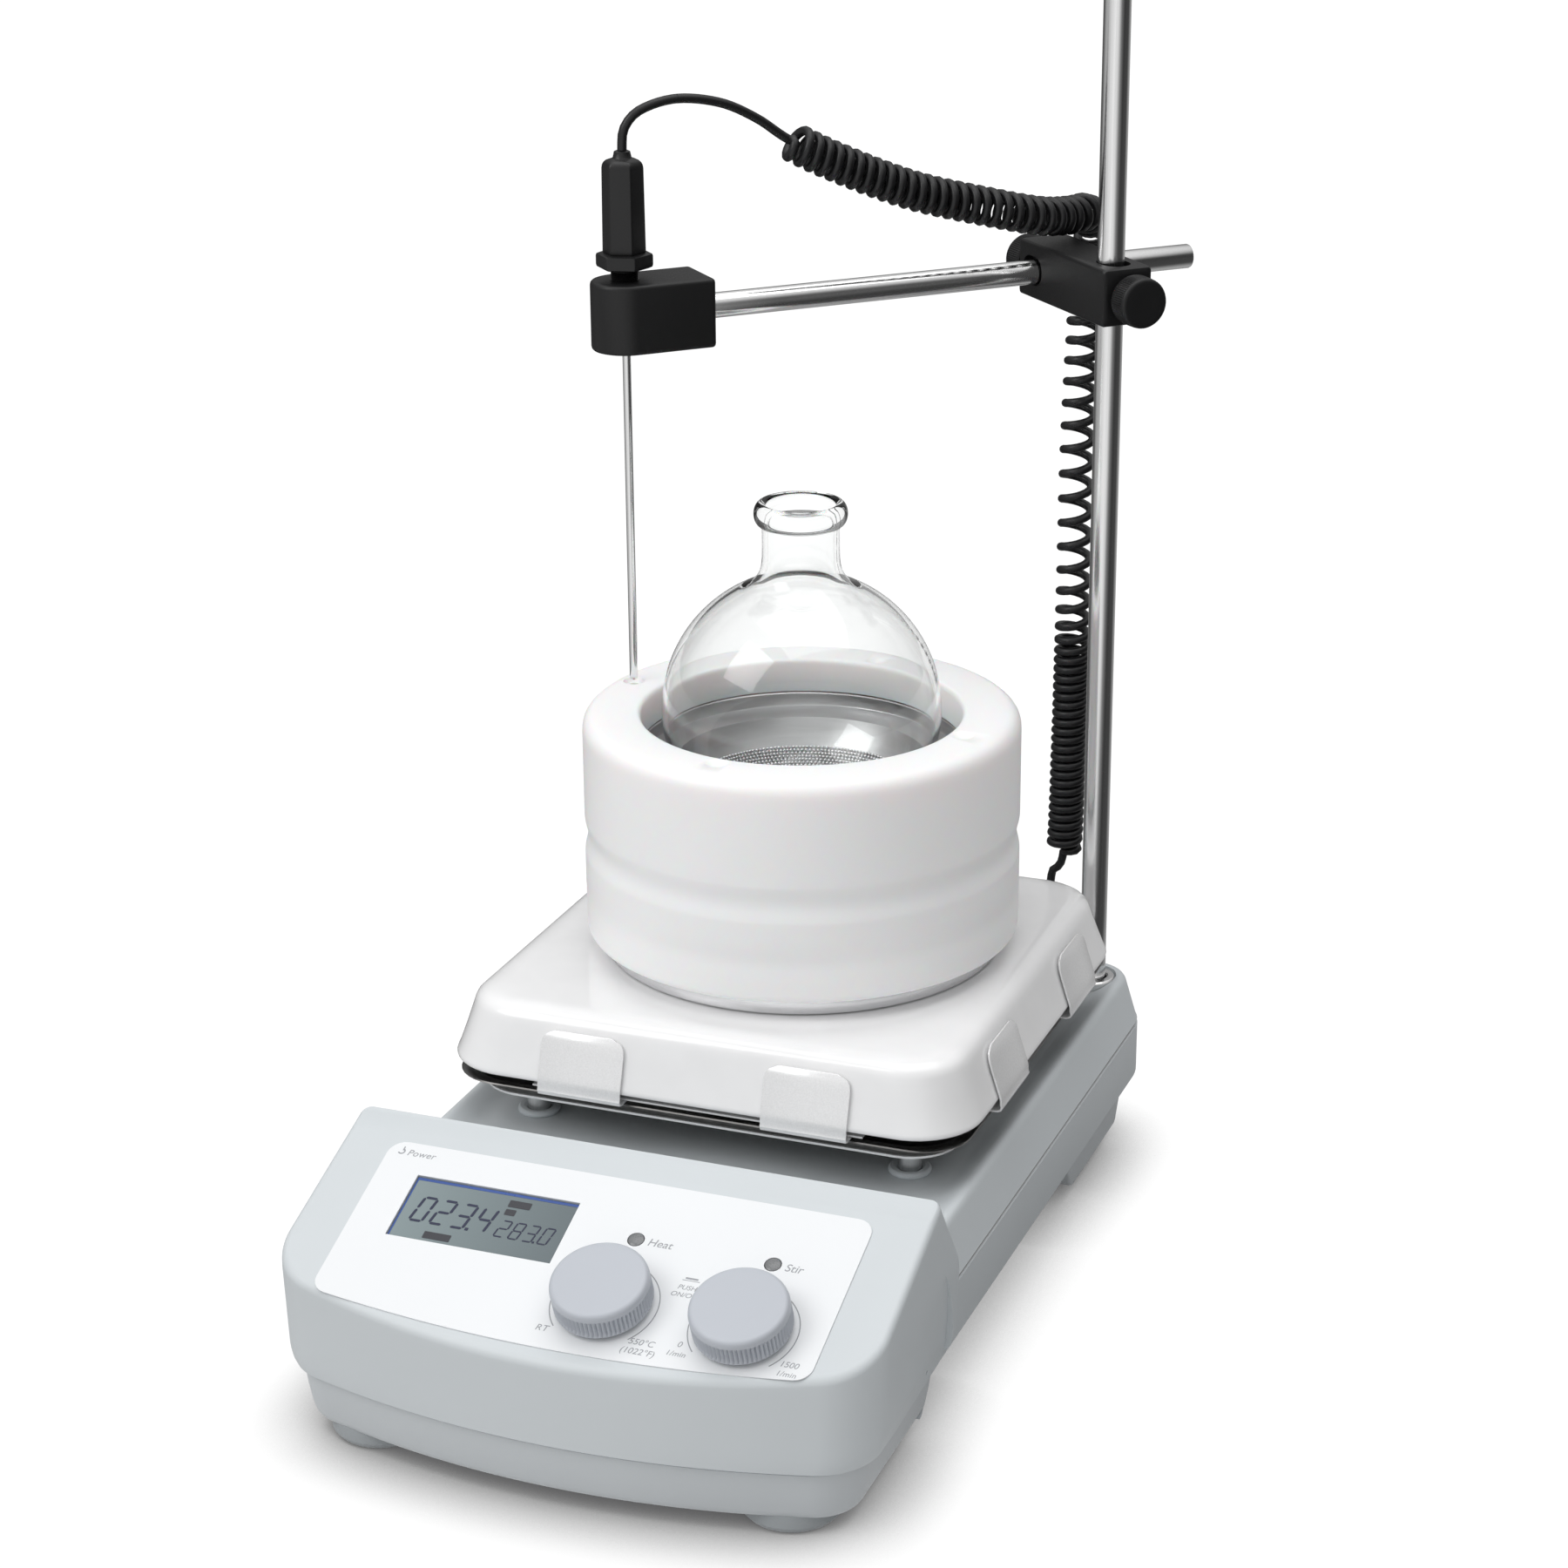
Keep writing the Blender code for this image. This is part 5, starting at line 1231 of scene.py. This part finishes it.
def make_stage():
    """A pale floor: white to the eye, with a painted soft contact shadow, and a duller bounce of light.
    """
    mesh = bpy.data.meshes.new("floor")
    mesh.from_pydata([(-14, -14, -0.0002), (14, -14, -0.0002), (14, 14, -0.0002), (-14, 14, -0.0002)],
                     [], [(0, 1, 2, 3)])
    floor = bpy.data.objects.new("floor", mesh)
    bpy.context.scene.collection.objects.link(floor)
    m, tree, shader = material("floor_white", (0.55, 0.55, 0.55), 0.95)
    shader.inputs["Specular IOR Level"].default_value = 0.0
    where = tree.nodes.new("ShaderNodeTexCoord")
    split = tree.nodes.new("ShaderNodeSeparateXYZ")
    tree.links.new(where.outputs["Object"], split.inputs["Vector"])
    mirrored = tree.nodes.new("ShaderNodeEmission")
    tree.links.new(around(tree, split.outputs["X"], split.outputs["Y"]), mirrored.inputs["Color"])
    # painted contact shadow: the floor's glow, as the eye sees it, darkens where ambient occlusion finds
    # the housing close by
    shade = tree.nodes.new("ShaderNodeAmbientOcclusion")
    shade.samples = 12
    shade.inputs["Distance"].default_value = 0.038
    soft = tree.nodes.new("ShaderNodeValToRGB")
    ends = soft.color_ramp.elements
    ends[0].position, ends[0].color = 0.0, (0.06, 0.06, 0.062, 1)
    ends[1].position, ends[1].color = 0.93, (1.0, 1.0, 1.0, 1)
    for spot, value in ((0.3, 0.22), (0.55, 0.55), (0.78, 0.90)):
        stop = ends.new(spot)
        stop.color = (value, value, value, 1)
    tree.links.new(shade.outputs["AO"], soft.inputs["Fac"])
    seen = tree.nodes.new("ShaderNodeEmission")
    seen.inputs["Strength"].default_value = 1.06
    tree.links.new(soft.outputs["Color"], seen.inputs["Color"])
    light = tree.nodes.new("ShaderNodeLightPath")
    through = tree.nodes.new("ShaderNodeMath")
    through.operation = "MAXIMUM"
    tree.links.new(light.outputs["Is Camera Ray"], through.inputs[0])
    tree.links.new(light.outputs["Is Transmission Ray"], through.inputs[1])
    first, second = tree.nodes.new("ShaderNodeMixShader"), tree.nodes.new("ShaderNodeMixShader")
    tree.links.new(light.outputs["Is Glossy Ray"], first.inputs["Fac"])
    tree.links.new(shader.outputs["BSDF"], first.inputs[1])
    tree.links.new(mirrored.outputs["Emission"], first.inputs[2])
    tree.links.new(through.outputs["Value"], second.inputs["Fac"])
    tree.links.new(first.outputs["Shader"], second.inputs[1])
    tree.links.new(seen.outputs["Emission"], second.inputs[2])
    tree.links.new(second.outputs["Shader"], tree.nodes["Material Output"].inputs["Surface"])
    mesh.materials.append(m)


def area(name, spot, aim, size, power, colour=(1, 1, 1)):
    light = bpy.data.lights.new(name, "AREA")
    light.shape = "RECTANGLE"
    light.size, light.size_y = size
    light.energy = power
    light.color = colour
    thing = bpy.data.objects.new(name, light)
    bpy.context.scene.collection.objects.link(thing)
    thing.location = spot
    thing.rotation_euler = (Vector(aim) - Vector(spot)).to_track_quat("-Z", "Y").to_euler()
    return thing


def make_lights():
    area("key", (-1.2, -1.3, 1.8), (0, -0.02, 0.15), (1.3, 1.3), 15)
    area("top", (0.1, 0.1, 2.1), (0, 0, 0.1), (1.8, 1.8), 13)
    world = bpy.data.worlds.new("studio")
    bpy.context.scene.world = world
    world.use_nodes = True
    tree = world.node_tree
    shade = tree.nodes["Background"]
    where = tree.nodes.new("ShaderNodeTexCoord")
    split = tree.nodes.new("ShaderNodeSeparateXYZ")
    tree.links.new(where.outputs["Generated"], split.inputs["Vector"])
    high = tree.nodes.new("ShaderNodeMapRange")
    high.interpolation_type = "SMOOTHSTEP"
    for socket, value in (("From Min", 0.25), ("From Max", 0.85)):
        high.inputs[socket].default_value = value
    tree.links.new(split.outputs["Z"], high.inputs["Value"])
    sky = tree.nodes.new("ShaderNodeMix")
    sky.data_type = "RGBA"
    tree.links.new(high.outputs["Result"], sky.inputs["Factor"])
    tree.links.new(around(tree, split.outputs["X"], split.outputs["Y"]), sky.inputs["A"])
    sky.inputs["B"].default_value = (1, 1, 1, 1)
    seen = tree.nodes.new("ShaderNodeMix")
    seen.data_type = "RGBA"
    seen.inputs["B"].default_value = (1.25, 1.25, 1.26, 1)
    light = tree.nodes.new("ShaderNodeLightPath")
    tree.links.new(light.outputs["Is Camera Ray"], seen.inputs["Factor"])
    tree.links.new(sky.outputs["Result"], seen.inputs["A"])
    tree.links.new(seen.outputs["Result"], shade.inputs["Color"])
    shade.inputs["Strength"].default_value = 0.88


def make_camera():
    """The photograph's viewpoint."""
    turn, rise, roll = radians(21.13), radians(20.40), radians(-0.41)
    back = Vector((sin(turn) * cos(rise), -cos(turn) * cos(rise), sin(rise)))
    right = Vector((cos(turn), sin(turn), 0))
    up = back.cross(right)
    x = right * cos(roll) + up * sin(roll)
    y = up * cos(roll) - right * sin(roll)
    data = bpy.data.cameras.new("camera")
    data.sensor_width = 36
    data.lens = 80.8
    data.clip_end = 60
    camera = bpy.data.objects.new("camera", data)
    bpy.context.scene.collection.objects.link(camera)
    camera.matrix_world = Matrix.Translation((0.4289, -1.0923, 0.6173)) @ Matrix(
        (x, y, back)).transposed().to_4x4()
    bpy.context.scene.camera = camera
    bpy.context.scene.view_settings.view_transform = "Standard"


make_camera()
make_cord()
make_upper()
make_lower()
make_feet()
make_display()
make_print()
for control in ("heat", "stir"):
    make_knob(control)
make_lamps()
make_plate()
make_shield()
make_clips()
make_posts()
make_carrier()
make_beads()
make_flask()
make_rod()
make_clamp()
make_arm()
make_holder()
make_probe()
make_plug()
make_rear()
paint_inside()
make_stage()
make_lights()
